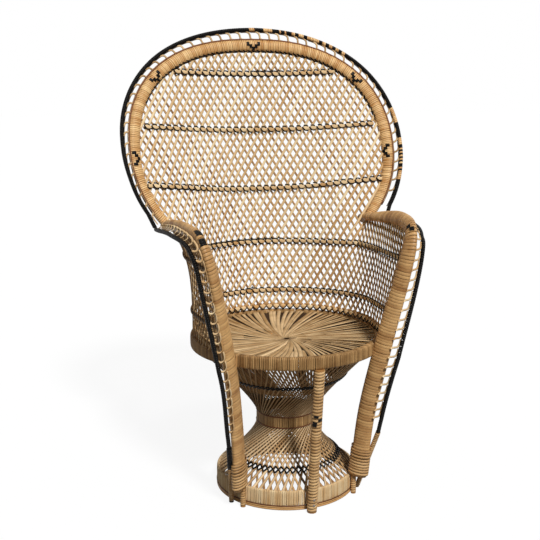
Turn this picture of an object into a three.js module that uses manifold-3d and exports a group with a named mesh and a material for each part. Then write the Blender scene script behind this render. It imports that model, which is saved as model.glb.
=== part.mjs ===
// Peacock chair: a high round wicker back and two arms on an hourglass pedestal.
// Millimetres, +Z up. The sitter faces -Y, so +X is the sitter's left arm as seen from the front.
import * as THREE from 'three';
import { mergeVertices } from 'three/addons/utils/BufferGeometryUtils.js';
import Module from 'manifold-3d';

const wasm = await Module();
wasm.setup();

// Driving dimensions: gaps left where two pieces touch.
const CLEARANCE = 0.3;
const STRIP_CLEARANCE = 0.8;

// Base of the pedestal.
const BASE_RADIUS = 193;
const BASE_BAND_WALL = 10;
const BASE_BAND_TOP = 54;
const FLOOR_HOOP_DIAMETER = 13;
const FLOOR_HOOP_STAND_OUT = 2;

// Waist of the pedestal.
const WAIST_RADIUS = 81;
const WAIST_BAND_WALL = 8;
const WAIST_BOTTOM = 184;
const WAIST_HEIGHT = 32;

// Walls of the two cones that make the hourglass; their straight stakes lean round the axis.
const CONE_WALL = 4;
const CONE_BASE_INSET = 5;
const CONE_SEAT_INSET = 19;
const LOWER_STAKE_TWIST = 60;
const UPPER_STAKE_TWIST = 48;
const TWINE_THICKNESS = 4;
const LOWER_TWINE_BOTTOM = 88;
const UPPER_TWINE_BOTTOM = 319;
const TWINE_HEIGHT = 11;

// Seat.
const SEAT_RADIUS = 260;
const SEAT_HEIGHT = 436;
const SEAT_BAND_HEIGHT = 34;
const SEAT_BAND_WALL = 18;
const DECK_THICKNESS = 6;
const DECK_DROP = 4;
const CROSS_POLE_DIAMETER = 11.5;

// Centre posts, one in front of the pedestal and one behind it.
const CENTRE_POST_DIAMETER = 26;
const CENTRE_POST_TOP_INSET = 2;
const CENTRE_POST_TURN = 3;
const NAIL_HEAD_DIAMETER = 7;
const NAIL_HEAD_THICKNESS = 2;
const NAIL_HEIGHTS = [24, 40];

// Wrapped rolls: arm and side post in one length, and the hoop round the back.
const ARM_ROLL_WIDTHS = [48, 48, 48, 42, 38, 38, 38, 38, 38];
const ARM_ROLL_THICKNESS = 24;
const HOOP_ROLL_WIDTH = 34;
const HOOP_ROLL_THICKNESS = 24;
const POST_NOTCH = 2;
const POST_BOTTOM = 56;
const POST_FOOT_ANGLE = 50;
const POST_SEAT_ANGLE = 46;
const POST_BOW = 10;
const ARM_HEIGHT = 745;
const ARM_SPREAD = 294;
const ARM_REACH = 228;
const ARM_TAIL = 18;
// Bends of the arm: how far each lies in from its spread, back from its reach and below its height.
const POST_TOP_BEND = { inset: 38, setback: 0, drop: 58 };
const ARM_FRONT_BEND = { inset: 22, setback: 28, drop: 12 };
const ARM_MIDDLE_BEND = { inset: 4, setback: 130, drop: 0 };
const ARM_REAR_SHARE = 0.55;
const ARM_REAR_BULGE = 8;
const ARM_REAR_RISE = 4;
const FOOT_DIAMETER = 14;
const LASHING_BOTTOM = 60;
const LASHING_TOP = 136;
const LASHING_THICKNESS = 8;

// Back hoop.
const HOOP_TOP = 1205;
const HOOP_HALF_WIDTH = 370;
const HOOP_WIDEST_HEIGHT = 910;
const HOOP_LOWER_RADIUS = 315;
const HOOP_SQUARENESS = 2.4;
const KINK_HEIGHT = 715;
const KINK_DEPTH = 157;
const BACK_LEAN = 193;
const BACK_LEAN_POWER = 1.5;

// Outer trim rail and the lacing that ties it to the roll.
const TRIM_DIAMETER = 11;
const HOOP_TRIM_REACH = 47;
const HOOP_SIDE_TRIM_REACH = 39;
const ARM_TRIM_REACHES = [34, 44, 48, 36, 35, 38, 38, 38, 38];
const TRIM_END_HEIGHT = 196;
const TRIM_JOINT_GAP = 8;
const SPUR_DIAMETER = 13;
const SPUR_FOOT_ANGLE = 62;
const SPUR_JOINT_GAP = 1.8;
const LACING_DIAMETER = 3.5;
const LACING_PITCH = 27;

// Woven back and sides.
const LATTICE_THICKNESS = 5;
const HEM_INSET = 9;
const HEM_HEIGHT = 17;
const HEM_FLARE_ANGLE = 40;
const KINK_BACK_ANGLE = 66;
const BACK_FLARE = 1.8;
const SIDE_FLARE = 3.6;
const ARM_FLARE_END = 105;
const BAND_HEIGHT = 14;
const BAND_THICKNESS = 4;
// Bands by their share of the way from the seat up to the hoop's top, in the middle and at their ends.
const BANDS = [
  { name: 'back_band_5', middle: 0.077, ends: 0.1 },
  { name: 'back_band_4', middle: 0.266, ends: 0.292 },
  { name: 'back_band_3', middle: 0.468, ends: 0.505 },
  { name: 'back_band_2', middle: 0.688, ends: 0.709 },
  { name: 'back_band_1', middle: 0.895, ends: 0.905 },
];

// Openings of the weave: a plain grid between the bands.
const WEAVE_COLUMNS = 12;
const WEAVE_BAY_ROWS = 2;
const WEAVE_BAR = 24;
const WEAVE_MARGIN = 10;
const WEAVE_LEAST = 20;

// Fineness of the facets.
const ROUND_STEPS = 40;
const POLE_SIDES = 10;
const ROLL_SIDES = 10;
const TRIM_SIDES = 6;
const LACING_SIDES = 4;
const HOOP_STEPS = 44;
const ARM_STEPS = 36;
const CONE_STEPS = 6;
const LATTICE_HOOP_COLUMNS = 9;
const LATTICE_ARM_COLUMNS = 5;
const LATTICE_ROWS = 8;
const LATTICE_FLATNESS = 0.2;

const RATTAN = new THREE.MeshStandardMaterial({ color: 0xc08d52, roughness: 0.55, metalness: 0 });
const REED = new THREE.MeshStandardMaterial({ color: 0xd9b67c, roughness: 0.6, metalness: 0 });
const BLACK_CANE = new THREE.MeshStandardMaterial({ color: 0x17130f, roughness: 0.4, metalness: 0 });
const STEEL = new THREE.MeshStandardMaterial({ color: 0x6d6a64, roughness: 0.5, metalness: 0.8 });

const seatBandBottom = SEAT_HEIGHT - SEAT_BAND_HEIGHT;
const floorHoopOutside = BASE_RADIUS + FLOOR_HOOP_STAND_OUT;
const waistTop = WAIST_BOTTOM + WAIST_HEIGHT;
const UP = new THREE.Vector3(0, 0, 1);

/** A point at a radius and an angle from the chair's front, positive towards +X. */
function fromFront(radius, degrees, height) {
  const angle = THREE.MathUtils.degToRad(degrees);
  return new THREE.Vector3(radius * Math.sin(angle), -radius * Math.cos(angle), height);
}

/** A point at a radius and an angle from the chair's back, positive towards +X. */
function fromBack(radius, degrees, height) {
  const angle = THREE.MathUtils.degToRad(degrees);
  return new THREE.Vector3(radius * Math.sin(angle), radius * Math.cos(angle), height);
}

/** The same point on the chair's other side. */
function mirrored(point) {
  return new THREE.Vector3(-point.x, point.y, point.z);
}

/** Closed geometry from points and triangles, turned so that its faces point out. */
function closedGeometry(points, triangles) {
  let volume = 0;
  for (let i = 0; i < triangles.length; i += 3) {
    const [a, b, c] = [points[triangles[i]], points[triangles[i + 1]], points[triangles[i + 2]]];
    volume += a.dot(new THREE.Vector3().crossVectors(b, c));
  }
  const geometry = new THREE.BufferGeometry().setFromPoints(points);
  geometry.setIndex(volume > 0 ? triangles : triangles.toReversed());
  return geometry;
}

/** A solid through a row of rings of points, with flat ends. */
function loft(rings) {
  const count = rings[0].length;
  const triangles = [];
  for (let r = 0; r + 1 < rings.length; r += 1) {
    for (let i = 0; i < count; i += 1) {
      const a = r * count + i;
      const b = r * count + ((i + 1) % count);
      triangles.push(a, b, b + count, a, b + count, a + count);
    }
  }
  const last = (rings.length - 1) * count;
  for (let i = 1; i + 1 < count; i += 1) {
    triangles.push(0, i + 1, i, last, last + i, last + i + 1);
  }
  return closedGeometry(rings.flat(), triangles);
}

/** A sheet with thickness, from its two faces, each a grid of rows of points. */
function slab(front, back) {
  const rows = front.length;
  const columns = front[0].length;
  const backStart = rows * columns;
  const triangles = [];
  for (let r = 0; r + 1 < rows; r += 1) {
    for (let c = 0; c + 1 < columns; c += 1) {
      const a = r * columns + c;
      triangles.push(a, a + 1, a + columns + 1, a, a + columns + 1, a + columns);
      const b = backStart + a;
      triangles.push(b, b + columns + 1, b + 1, b, b + columns, b + columns + 1);
    }
  }
  const edge = [];
  for (let c = 0; c < columns; c += 1) edge.push(c);
  for (let r = 1; r < rows; r += 1) edge.push(r * columns + columns - 1);
  for (let c = columns - 2; c >= 0; c -= 1) edge.push((rows - 1) * columns + c);
  for (let r = rows - 2; r > 0; r -= 1) edge.push(r * columns);
  edge.forEach((a, i) => {
    const b = edge[(i + 1) % edge.length];
    triangles.push(a, a + backStart, b + backStart, a, b + backStart, b);
  });
  return closedGeometry([...front.flat(), ...back.flat()], triangles);
}

/** An oval section: pairs of distances along its long and its short axis. */
function oval(width, thickness, sides) {
  return Array.from({ length: sides }, (_, i) => {
    const angle = (2 * Math.PI * (i + 0.5)) / sides;
    return [(width / 2) * Math.cos(angle), (thickness / 2) * Math.sin(angle)];
  });
}

/** Half the width of a faceted oval, up to the flat that closes its long axis. */
function halfFlat(width, sides) {
  return (width / 2) * Math.cos(Math.PI / sides);
}

/** A solid swept along stations of a path; each has its point, its tangent and its long axis. */
function sweep(stations, sectionAt) {
  return loft(stations.map((station, i) => {
    const long = station.long.clone().addScaledVector(station.tangent, -station.long.dot(station.tangent));
    long.normalize();
    const short = new THREE.Vector3().crossVectors(station.tangent, long);
    return sectionAt(i / (stations.length - 1)).map(([along, across]) => (
      station.point.clone().addScaledVector(long, along).addScaledVector(short, across)));
  }));
}

/** Stations along a list of points, with tangents from the neighbouring points. */
function stationsThrough(points, longs) {
  return points.map((point, i) => {
    const before = points[Math.max(i - 1, 0)];
    const after = points[Math.min(i + 1, points.length - 1)];
    const tangent = after.clone().sub(before).normalize();
    return { point, tangent, long: longs[i] };
  });
}

/** A straight round pole between two points, its ends cut level where asked. */
function pole(from, to, diameter, sides) {
  const slant = to.clone().sub(from).normalize();
  const across = Math.abs(slant.z) > 0.5 ? new THREE.Vector3(1, 0, 0) : UP;
  const tangent = Math.abs(slant.z) > 0.5 ? UP : slant;
  const ends = [from, to].map((point) => ({ point, tangent, long: across }));
  return sweep(ends, () => oval(diameter, diameter, sides));
}

/** A ring turned about the chair's axis from a closed outline of [radius, height] corners. */
function turnedRing(outline) {
  const loop = outline.map(([radius, height]) => new THREE.Vector2(radius, height));
  if (THREE.ShapeUtils.area(loop) < 0) loop.reverse();
  const corners = [...loop, loop[0]];
  const ring = new THREE.LatheGeometry(corners, ROUND_STEPS);
  ring.rotateX(Math.PI / 2);
  return ring;
}

/** A plain hoop with a rectangular section. */
function bandRing(outside, wall, bottom, top) {
  return turnedRing([[outside - wall, bottom], [outside, bottom], [outside, top], [outside - wall, top]]);
}

/** A geometry as a solid that can be cut. */
function solidOf(geometry) {
  const bare = geometry.clone();
  bare.deleteAttribute('normal');
  bare.deleteAttribute('uv');
  const merged = mergeVertices(bare, 1e-4);
  return new wasm.Manifold(new wasm.Mesh({
    numProp: 3,
    vertProperties: new Float32Array(merged.attributes.position.array),
    triVerts: new Uint32Array(merged.index.array),
  }));
}

/** A geometry less the space of its neighbours; only its largest body is kept, with needless corners left out. */
function cutBy(geometry, neighbours, flatness = 0) {
  let solid = solidOf(geometry);
  neighbours.forEach((neighbour) => {
    solid = solid.subtract(solidOf(neighbour));
  });
  if (flatness > 0) solid = solid.asOriginal().simplify(flatness);
  const bodies = solid.decompose();
  bodies.sort((a, b) => b.volume() - a.volume());
  const mesh = bodies[0].getMesh();
  const cut = new THREE.BufferGeometry();
  cut.setAttribute('position', new THREE.BufferAttribute(new Float32Array(mesh.vertProperties), 3));
  cut.setIndex(Array.from(mesh.triVerts));
  return cut;
}

const group = new THREE.Group();

/** Adds one named piece to the chair. */
function add(name, geometry, material) {
  const mesh = new THREE.Mesh(geometry, material);
  mesh.name = name;
  group.add(mesh);
}

// Pedestal: floor hoop, base band, lower cone, waist band, upper cone.
const floorHoopRadius = FLOOR_HOOP_DIAMETER / 2;
const floorHoopCentre = floorHoopOutside - floorHoopRadius;
const floorHoopMiddle = halfFlat(FLOOR_HOOP_DIAMETER, TRIM_SIDES);
const floorHoopSection = oval(FLOOR_HOOP_DIAMETER, FLOOR_HOOP_DIAMETER, TRIM_SIDES).map(([height, radial]) => (
  [floorHoopCentre + radial, floorHoopMiddle + height]));
const floorHoopTop = 2 * floorHoopMiddle;
add('base_floor_hoop', turnedRing(floorHoopSection), RATTAN);

const baseBandBottom = floorHoopTop + CLEARANCE;
add('base_band', bandRing(BASE_RADIUS, BASE_BAND_WALL, baseBandBottom, BASE_BAND_TOP), REED);
add('waist_band', bandRing(WAIST_RADIUS, WAIST_BAND_WALL, WAIST_BOTTOM, waistTop), RATTAN);

/** The outside of a cone of straight stakes that run from one ring to another with a twist. */
function coneProfile(lowRadius, bottom, highRadius, top, twist) {
  const lean = Math.cos(THREE.MathUtils.degToRad(twist));
  return Array.from({ length: CONE_STEPS + 1 }, (_, i) => {
    const share = i / CONE_STEPS;
    const low = (1 - share) * lowRadius;
    const high = share * highRadius;
    const radius = Math.sqrt(low * low + high * high + 2 * low * high * lean);
    return new THREE.Vector2(radius, THREE.MathUtils.lerp(bottom, top, share));
  });
}
const waistStakeRadius = WAIST_RADIUS - CLEARANCE;
const lowerConeOutside = coneProfile(BASE_RADIUS - CONE_BASE_INSET, BASE_BAND_TOP + CLEARANCE,
  waistStakeRadius, WAIST_BOTTOM - CLEARANCE, LOWER_STAKE_TWIST);
const upperConeOutside = coneProfile(waistStakeRadius, waistTop + CLEARANCE,
  SEAT_RADIUS - CONE_SEAT_INSET, seatBandBottom - CLEARANCE, UPPER_STAKE_TWIST);

/** A thin turned wall whose outside follows a profile. */
function coneWall(outside) {
  const inside = outside.map((point) => [point.x - CONE_WALL, point.y]).reverse();
  return turnedRing([...outside.map((point) => [point.x, point.y]), ...inside]);
}
add('lower_cone', coneWall(lowerConeOutside), REED);
add('upper_cone', coneWall(upperConeOutside), REED);

/** The radius of a cone's outside at a height. */
function radiusAt(outside, height) {
  const i = outside.findIndex((point) => point.y >= height);
  const [low, high] = [outside[i - 1], outside[i]];
  return THREE.MathUtils.mapLinear(height, low.y, high.y, low.x, high.x);
}

/** A twined ring that lies on a cone's outside from a height upwards. */
function twineRing(outside, bottom) {
  const heights = [bottom, ...outside.map((point) => point.y), bottom + TWINE_HEIGHT]
    .filter((height) => height >= bottom && height <= bottom + TWINE_HEIGHT);
  const face = heights.map((height) => [radiusAt(outside, height) + STRIP_CLEARANCE, height]);
  const back = face.map(([radius, height]) => [radius + TWINE_THICKNESS, height]).reverse();
  return turnedRing([...face, ...back]);
}
add('lower_twine_ring', twineRing(lowerConeOutside, LOWER_TWINE_BOTTOM), BLACK_CANE);
add('upper_twine_ring', twineRing(upperConeOutside, UPPER_TWINE_BOTTOM), BLACK_CANE);

// Seat: wrapped band, woven deck, and two poles that cross under the deck.
add('seat_band', bandRing(SEAT_RADIUS, SEAT_BAND_WALL, seatBandBottom, SEAT_HEIGHT), REED);
const deckRadius = SEAT_RADIUS - SEAT_BAND_WALL - CLEARANCE;
const deckTop = SEAT_HEIGHT - DECK_DROP;
const deckBottom = deckTop - DECK_THICKNESS;
add('seat_deck', turnedRing([[0, deckBottom], [deckRadius, deckBottom], [deckRadius, deckTop], [0, deckTop]]), REED);

const poleReach = deckRadius - CROSS_POLE_DIAMETER / 8;
const upperPoleHeight = deckBottom - CLEARANCE - CROSS_POLE_DIAMETER / 2;
const lowerPoleHeight = upperPoleHeight - CROSS_POLE_DIAMETER - CLEARANCE;
add('seat_pole_across', pole(
  new THREE.Vector3(-poleReach, 0, upperPoleHeight),
  new THREE.Vector3(poleReach, 0, upperPoleHeight), CROSS_POLE_DIAMETER, POLE_SIDES), RATTAN);
add('seat_pole_fore_aft', pole(
  new THREE.Vector3(0, -poleReach, lowerPoleHeight),
  new THREE.Vector3(0, poleReach, lowerPoleHeight), CROSS_POLE_DIAMETER, POLE_SIDES), RATTAN);

// Centre posts stand on the floor against the floor hoop and end under the seat band.
const centrePostFoot = floorHoopOutside + CLEARANCE + CENTRE_POST_DIAMETER / 2;
const centrePostTop = SEAT_RADIUS - CENTRE_POST_TOP_INSET;
function centrePost(turn) {
  return pole(
    fromFront(centrePostFoot, turn, 0),
    fromFront(centrePostTop, turn, seatBandBottom - CLEARANCE), CENTRE_POST_DIAMETER, ROLL_SIDES);
}
add('front_post', centrePost(CENTRE_POST_TURN), RATTAN);
add('rear_post', centrePost(CENTRE_POST_TURN + 180), RATTAN);

NAIL_HEIGHTS.forEach((height, i) => {
  const share = height / (seatBandBottom - CLEARANCE);
  const face = THREE.MathUtils.lerp(centrePostFoot, centrePostTop, share)
    + CENTRE_POST_DIAMETER / 2 + STRIP_CLEARANCE;
  const start = fromFront(face, CENTRE_POST_TURN, height);
  const end = fromFront(face + NAIL_HEAD_THICKNESS, CENTRE_POST_TURN, height);
  add(`front_post_nail_${i + 1}`, pole(start, end, NAIL_HEAD_DIAMETER, POLE_SIDES), STEEL);
});

// Right arm roll: from the pedestal's base up past the seat, round the arm and back to the hoop.
const hoopDropEnd = Math.asin((HOOP_WIDEST_HEIGHT - KINK_HEIGHT) / HOOP_LOWER_RADIUS);
const HOOP_UPPER_SHARE = 0.7;

/** The hoop's centre line: 0 at its top, 1 at the right kink and -1 at the left kink. */
function hoopPoint(share) {
  const q = Math.abs(share);
  let x;
  let z;
  if (q <= HOOP_UPPER_SHARE) {
    const angle = (q / HOOP_UPPER_SHARE) * (Math.PI / 2);
    x = HOOP_HALF_WIDTH * Math.sin(angle) ** (2 / HOOP_SQUARENESS);
    const rise = Math.max(Math.cos(angle), 0) ** (2 / HOOP_SQUARENESS);
    z = HOOP_WIDEST_HEIGHT + (HOOP_TOP - HOOP_WIDEST_HEIGHT) * rise;
  } else {
    const drop = ((q - HOOP_UPPER_SHARE) / (1 - HOOP_UPPER_SHARE)) * hoopDropEnd;
    x = HOOP_HALF_WIDTH * Math.cos(drop);
    z = HOOP_WIDEST_HEIGHT - HOOP_LOWER_RADIUS * Math.sin(drop);
  }
  const climb = Math.max((z - KINK_HEIGHT) / (HOOP_TOP - KINK_HEIGHT), 0);
  return new THREE.Vector3(Math.sign(share) * x, KINK_DEPTH + BACK_LEAN * climb ** BACK_LEAN_POWER, z);
}

/** A direction made square to a line at one of its shares. */
function squareTo(direction, pointAt, share) {
  const step = 0.005;
  const tangent = pointAt(Math.min(share + step, 1)).sub(pointAt(share - step)).normalize();
  return direction.clone().addScaledVector(tangent, -direction.dot(tangent)).normalize();
}

/** The direction from the hoop's roll to its trim rail: up at the top, outward and forward at the sides. */
const hoopFlange = new THREE.CatmullRomCurve3([
  new THREE.Vector3(0, 0.1, 1),
  new THREE.Vector3(0.45, 0.15, 0.85),
  new THREE.Vector3(0.9, -0.15, 0.42),
  new THREE.Vector3(0.92, -0.38, 0),
  new THREE.Vector3(0.66, -0.75, 0),
  new THREE.Vector3(0.62, -0.78, 0.1),
]);
function hoopFlangeAt(share) {
  const direction = squareTo(hoopFlange.getPoint(Math.abs(share)), hoopPoint, Math.abs(share));
  return share < 0 ? mirrored(direction) : direction;
}

const kink = hoopPoint(1);
const seatMiddle = SEAT_HEIGHT - SEAT_BAND_HEIGHT / 2;
const postWidth = ARM_ROLL_WIDTHS[0];
const postFootRadius = BASE_RADIUS + postWidth / 2 - POST_NOTCH;
const postSeatRadius = SEAT_RADIUS + postWidth / 2 - POST_NOTCH;
const postLow = fromFront(postFootRadius, POST_FOOT_ANGLE, POST_BOTTOM);
const postSeat = fromFront(postSeatRadius, POST_SEAT_ANGLE, seatMiddle);
const postMiddle = fromFront((postFootRadius + postSeatRadius) / 2 - POST_BOW,
  (POST_FOOT_ANGLE + POST_SEAT_ANGLE) / 2, (POST_BOTTOM + seatMiddle) / 2);
function armBendPoint({ inset, setback, drop }) {
  return new THREE.Vector3(ARM_SPREAD - inset, -ARM_REACH + setback, ARM_HEIGHT - drop);
}
const postTop = armBendPoint(POST_TOP_BEND);
const armBend = armBendPoint(ARM_FRONT_BEND);
const armMiddle = armBendPoint(ARM_MIDDLE_BEND);
const armRear = armMiddle.clone().lerp(kink, ARM_REAR_SHARE);
armRear.add(new THREE.Vector3(ARM_REAR_BULGE, 0, ARM_REAR_RISE));
const armEnd = kink.clone().add(new THREE.Vector3(-4, ARM_TAIL, -6));
const armPoints = [postLow, postMiddle, postSeat, postTop, armBend, armMiddle, armRear, kink, armEnd];
const armLine = new THREE.CatmullRomCurve3(armPoints);
const armFlange = new THREE.CatmullRomCurve3([
  new THREE.Vector3(0.7, -0.7, 0),
  new THREE.Vector3(0.7, -0.7, 0),
  new THREE.Vector3(0.7, -0.7, 0),
  new THREE.Vector3(0.985, -0.17, -0.05),
  new THREE.Vector3(0.87, 0, -0.5),
  new THREE.Vector3(0.92, 0, -0.38),
  new THREE.Vector3(0.94, -0.1, -0.3),
  new THREE.Vector3(0.85, -0.5, -0.12),
  new THREE.Vector3(0.85, -0.5, -0.12),
]);
const armLong = new THREE.CatmullRomCurve3([
  new THREE.Vector3(0.7, -0.7, 0),
  new THREE.Vector3(0.7, -0.7, 0),
  new THREE.Vector3(0.7, -0.7, 0),
  new THREE.Vector3(0.47, -0.88, 0),
  new THREE.Vector3(0.37, -0.46, 0.8),
  new THREE.Vector3(0.47, 0, 0.88),
  new THREE.Vector3(0.7, -0.1, 0.55),
  new THREE.Vector3(0.85, -0.5, -0.12),
  new THREE.Vector3(0.85, -0.5, -0.12),
]);
const armSegments = armPoints.length - 1;
const POST_TOP_SHARE = armPoints.indexOf(postTop) / armSegments;
const KINK_SHARE = armPoints.indexOf(kink) / armSegments;
const TRIM_CORNER_SHARE = KINK_SHARE - 0.06;
const HOOP_TRIM_SHARE = 0.92;

/** Stations of a curve given as functions of a share, between two shares. */
function stationsAlong(pointAt, longAt, from, to, steps) {
  const shares = Array.from({ length: steps + 1 }, (_, i) => THREE.MathUtils.lerp(from, to, i / steps));
  return stationsThrough(shares.map(pointAt), shares.map(longAt));
}
function armPointAt(share) {
  return armLine.getPoint(share);
}
/** Direction from the arm's middle line to its trim rail. */
function armFlangeAt(share) {
  return squareTo(armFlange.getPoint(share), (along) => armPointAt(Math.max(along, 0)), share);
}
/** Direction of the arm roll's broad side. */
function armLongAt(share) {
  return squareTo(armLong.getPoint(share), (along) => armPointAt(Math.max(along, 0)), share);
}
/** A value that changes smoothly along the arm line, from its values at the line's points. */
function alongArm(values) {
  const curve = new THREE.SplineCurve(values.map((value, i) => new THREE.Vector2(i, value)));
  return (share) => curve.getPoint(share).y;
}
const armWidthAt = alongArm(ARM_ROLL_WIDTHS);
const armReachAt = alongArm(ARM_TRIM_REACHES);
/** Distance from the arm's middle line to the middle of a strand that lies on its skin, towards the trim rail. */
function armNearAt(share) {
  const along = armLongAt(share).dot(armFlangeAt(share));
  const across = Math.sqrt(Math.max(1 - along * along, 0));
  const halfWidth = armWidthAt(share) / 2;
  const halfThickness = ARM_ROLL_THICKNESS / 2;
  const edge = 1 / Math.hypot(along / halfWidth, across / halfThickness);
  const slope = new THREE.Vector2(along / halfWidth ** 2, across / halfThickness ** 2).normalize();
  const facing = slope.x * along + slope.y * across;
  return edge + (LACING_DIAMETER / 2 + CLEARANCE) / facing;
}
function armTrimAt(share) {
  return armPointAt(share).addScaledVector(armFlangeAt(share), armReachAt(share));
}
/** Distance from the hoop's middle line to its trim rail, least halfway down the sides. */
function hoopReachAt(share) {
  return THREE.MathUtils.lerp(HOOP_TRIM_REACH, HOOP_SIDE_TRIM_REACH, Math.sin(Math.PI * Math.abs(share)));
}
function hoopTrimAt(share) {
  return hoopPoint(share).addScaledVector(hoopFlangeAt(share), hoopReachAt(share));
}

const armStations = stationsAlong(armPointAt, armLongAt, 0, 1, ARM_STEPS);
const hoopStations = stationsAlong(hoopPoint, hoopFlangeAt, -1, 1, HOOP_STEPS);

/** The arm roll, grown by an amount all round. */
function armRoll(stations, grown) {
  return sweep(stations, (share) => (
    oval(armWidthAt(share) + 2 * grown, ARM_ROLL_THICKNESS + 2 * grown, ROLL_SIDES)));
}
/** The back hoop's roll, grown by an amount all round. */
function hoopRoll(grown) {
  return sweep(hoopStations, () => oval(HOOP_ROLL_WIDTH + 2 * grown, HOOP_ROLL_THICKNESS + 2 * grown, ROLL_SIDES));
}
/** The same stations on the chair's other side. */
function mirroredStations(stations) {
  return stations.map(({ point, tangent, long }) => (
    { point: mirrored(point), tangent: mirrored(tangent), long: mirrored(long) }));
}

const seatBandSpace = bandRing(SEAT_RADIUS + CLEARANCE, SEAT_BAND_WALL + CLEARANCE,
  seatBandBottom - CLEARANCE, SEAT_HEIGHT + CLEARANCE);
const armSpaces = [armRoll(armStations, CLEARANCE), armRoll(mirroredStations(armStations), CLEARANCE)];
const rollSpaces = [...armSpaces, hoopRoll(CLEARANCE)];
const baseBandSpace = bandRing(BASE_RADIUS + CLEARANCE, BASE_BAND_WALL, 0, BASE_BAND_TOP + CLEARANCE);

const SIDES = [
  { side: 'right', sign: 1, turned: (stations) => stations },
  { side: 'left', sign: -1, turned: mirroredStations },
];
const TRIM_START_SHARE = armShareAtHeight(TRIM_END_HEIGHT);
const lashingStations = stationsAlong(armPointAt, armFlangeAt,
  armShareAtHeight(LASHING_BOTTOM), armShareAtHeight(LASHING_TOP), 4);
const lashingSection = oval(postWidth + 2 * LASHING_THICKNESS, ARM_ROLL_THICKNESS + 2 * LASHING_THICKNESS, ROLL_SIDES);
const trimEnd = armTrimAt(TRIM_START_SHARE);
const spurFoot = fromFront(floorHoopOutside + CLEARANCE + SPUR_DIAMETER / 2, SPUR_FOOT_ANGLE, 0);
const spurTop = trimEnd.clone().addScaledVector(spurFoot.clone().sub(trimEnd).normalize(), SPUR_JOINT_GAP);
const footRadius = floorHoopOutside + CLEARANCE + FOOT_DIAMETER / 2;

/** The share of the arm line at which the side post passes a height. */
function armShareAtHeight(height) {
  let low = 0;
  let high = POST_TOP_SHARE;
  for (let i = 0; i < 30; i += 1) {
    const middle = (low + high) / 2;
    if (armPointAt(middle).z < height) low = middle;
    else high = middle;
  }
  return low;
}

SIDES.forEach(({ side, sign, turned }, i) => {
  const roll = armRoll(turned(armStations), 0);
  add(`${side}_arm_roll`, cutBy(roll, [seatBandSpace, baseBandSpace]), RATTAN);

  // The post's bare core stands on the floor; the spur carries the trim rail down beside it.
  const angle = sign * POST_FOOT_ANGLE;
  const foot = pole(fromFront(footRadius, angle, 0), fromFront(footRadius, angle, POST_BOTTOM + FOOT_DIAMETER / 2),
    FOOT_DIAMETER, POLE_SIDES);
  add(`${side}_post_foot`, cutBy(foot, [armSpaces[i]]), RATTAN);
  const spurEnds = [spurFoot, spurTop].map((point) => (sign > 0 ? point : mirrored(point)));
  add(`${side}_trim_spur`, pole(...spurEnds, SPUR_DIAMETER, POLE_SIDES), RATTAN);

  const lashing = sweep(turned(lashingStations), () => lashingSection);
  const spurSpace = pole(...spurEnds, SPUR_DIAMETER + 2 * CLEARANCE, POLE_SIDES);
  add(`${side}_post_lashing`, cutBy(lashing, [armSpaces[i], spurSpace]), REED);
});
add('back_hoop_roll', cutBy(hoopRoll(0), armSpaces), RATTAN);

// Trim rail outside the rolls, and the lacing in between.
/** A zigzag strand between a roll and its trim rail. */
function lacing(pointAt, flangeAt, nearAt, reachAt, from, to) {
  const line = Array.from({ length: 60 }, (_, i) => pointAt(THREE.MathUtils.lerp(from, to, i / 59)));
  const length = line.slice(1).reduce((sum, point, i) => sum + point.distanceTo(line[i]), 0);
  const turns = Math.round((2 * length) / LACING_PITCH);
  const half = halfFlat(LACING_DIAMETER, LACING_SIDES);
  const points = [];
  const longs = [];
  for (let i = 0; i <= turns; i += 1) {
    const share = THREE.MathUtils.lerp(from, to, i / turns);
    const flange = flangeAt(share);
    const far = reachAt(share) - halfFlat(TRIM_DIAMETER, TRIM_SIDES) - STRIP_CLEARANCE - half;
    points.push(pointAt(share).addScaledVector(flange, i % 2 ? far : nearAt(share)));
    longs.push(flange);
  }
  return sweep(stationsThrough(points, longs), () => oval(LACING_DIAMETER, LACING_DIAMETER, LACING_SIDES));
}

const trimSection = oval(TRIM_DIAMETER, TRIM_DIAMETER, TRIM_SIDES);
const trimCorner = armTrimAt(TRIM_CORNER_SHARE);
const hoopTrimTail = hoopTrimAt(HOOP_TRIM_SHARE);
const hoopTrimEnd = trimCorner.clone().addScaledVector(
  hoopTrimTail.clone().sub(trimCorner).normalize(), TRIM_JOINT_GAP);
const hoopTrimStations = stationsAlong(hoopTrimAt, hoopFlangeAt, -HOOP_TRIM_SHARE, HOOP_TRIM_SHARE, HOOP_STEPS);
const hoopTrimPoints = [mirrored(hoopTrimEnd), ...hoopTrimStations.map(({ point }) => point), hoopTrimEnd];
const hoopTrimLongs = [hoopFlangeAt(-1), ...hoopTrimStations.map(({ long }) => long), hoopFlangeAt(1)];
add('back_hoop_trim', sweep(stationsThrough(hoopTrimPoints, hoopTrimLongs), () => trimSection), BLACK_CANE);
const hoopNear = halfFlat(HOOP_ROLL_WIDTH, ROLL_SIDES) + CLEARANCE + halfFlat(LACING_DIAMETER, LACING_SIDES);
add('back_hoop_lacing', lacing(hoopPoint, hoopFlangeAt, () => hoopNear, hoopReachAt,
  -HOOP_TRIM_SHARE, HOOP_TRIM_SHARE), REED);

const armTrimStations = stationsAlong(armTrimAt, armFlangeAt, TRIM_START_SHARE, TRIM_CORNER_SHARE, ARM_STEPS);
SIDES.forEach(({ side, sign, turned }) => {
  add(`${side}_arm_trim`, sweep(turned(armTrimStations), () => trimSection), BLACK_CANE);
  const sidePoint = (share) => (sign > 0 ? armPointAt(share) : mirrored(armPointAt(share)));
  const sideFlange = (share) => (sign > 0 ? armFlangeAt(share) : mirrored(armFlangeAt(share)));
  add(`${side}_arm_lacing`,
    lacing(sidePoint, sideFlange, armNearAt, armReachAt, TRIM_START_SHARE, TRIM_CORNER_SHARE), REED);
});

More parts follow.
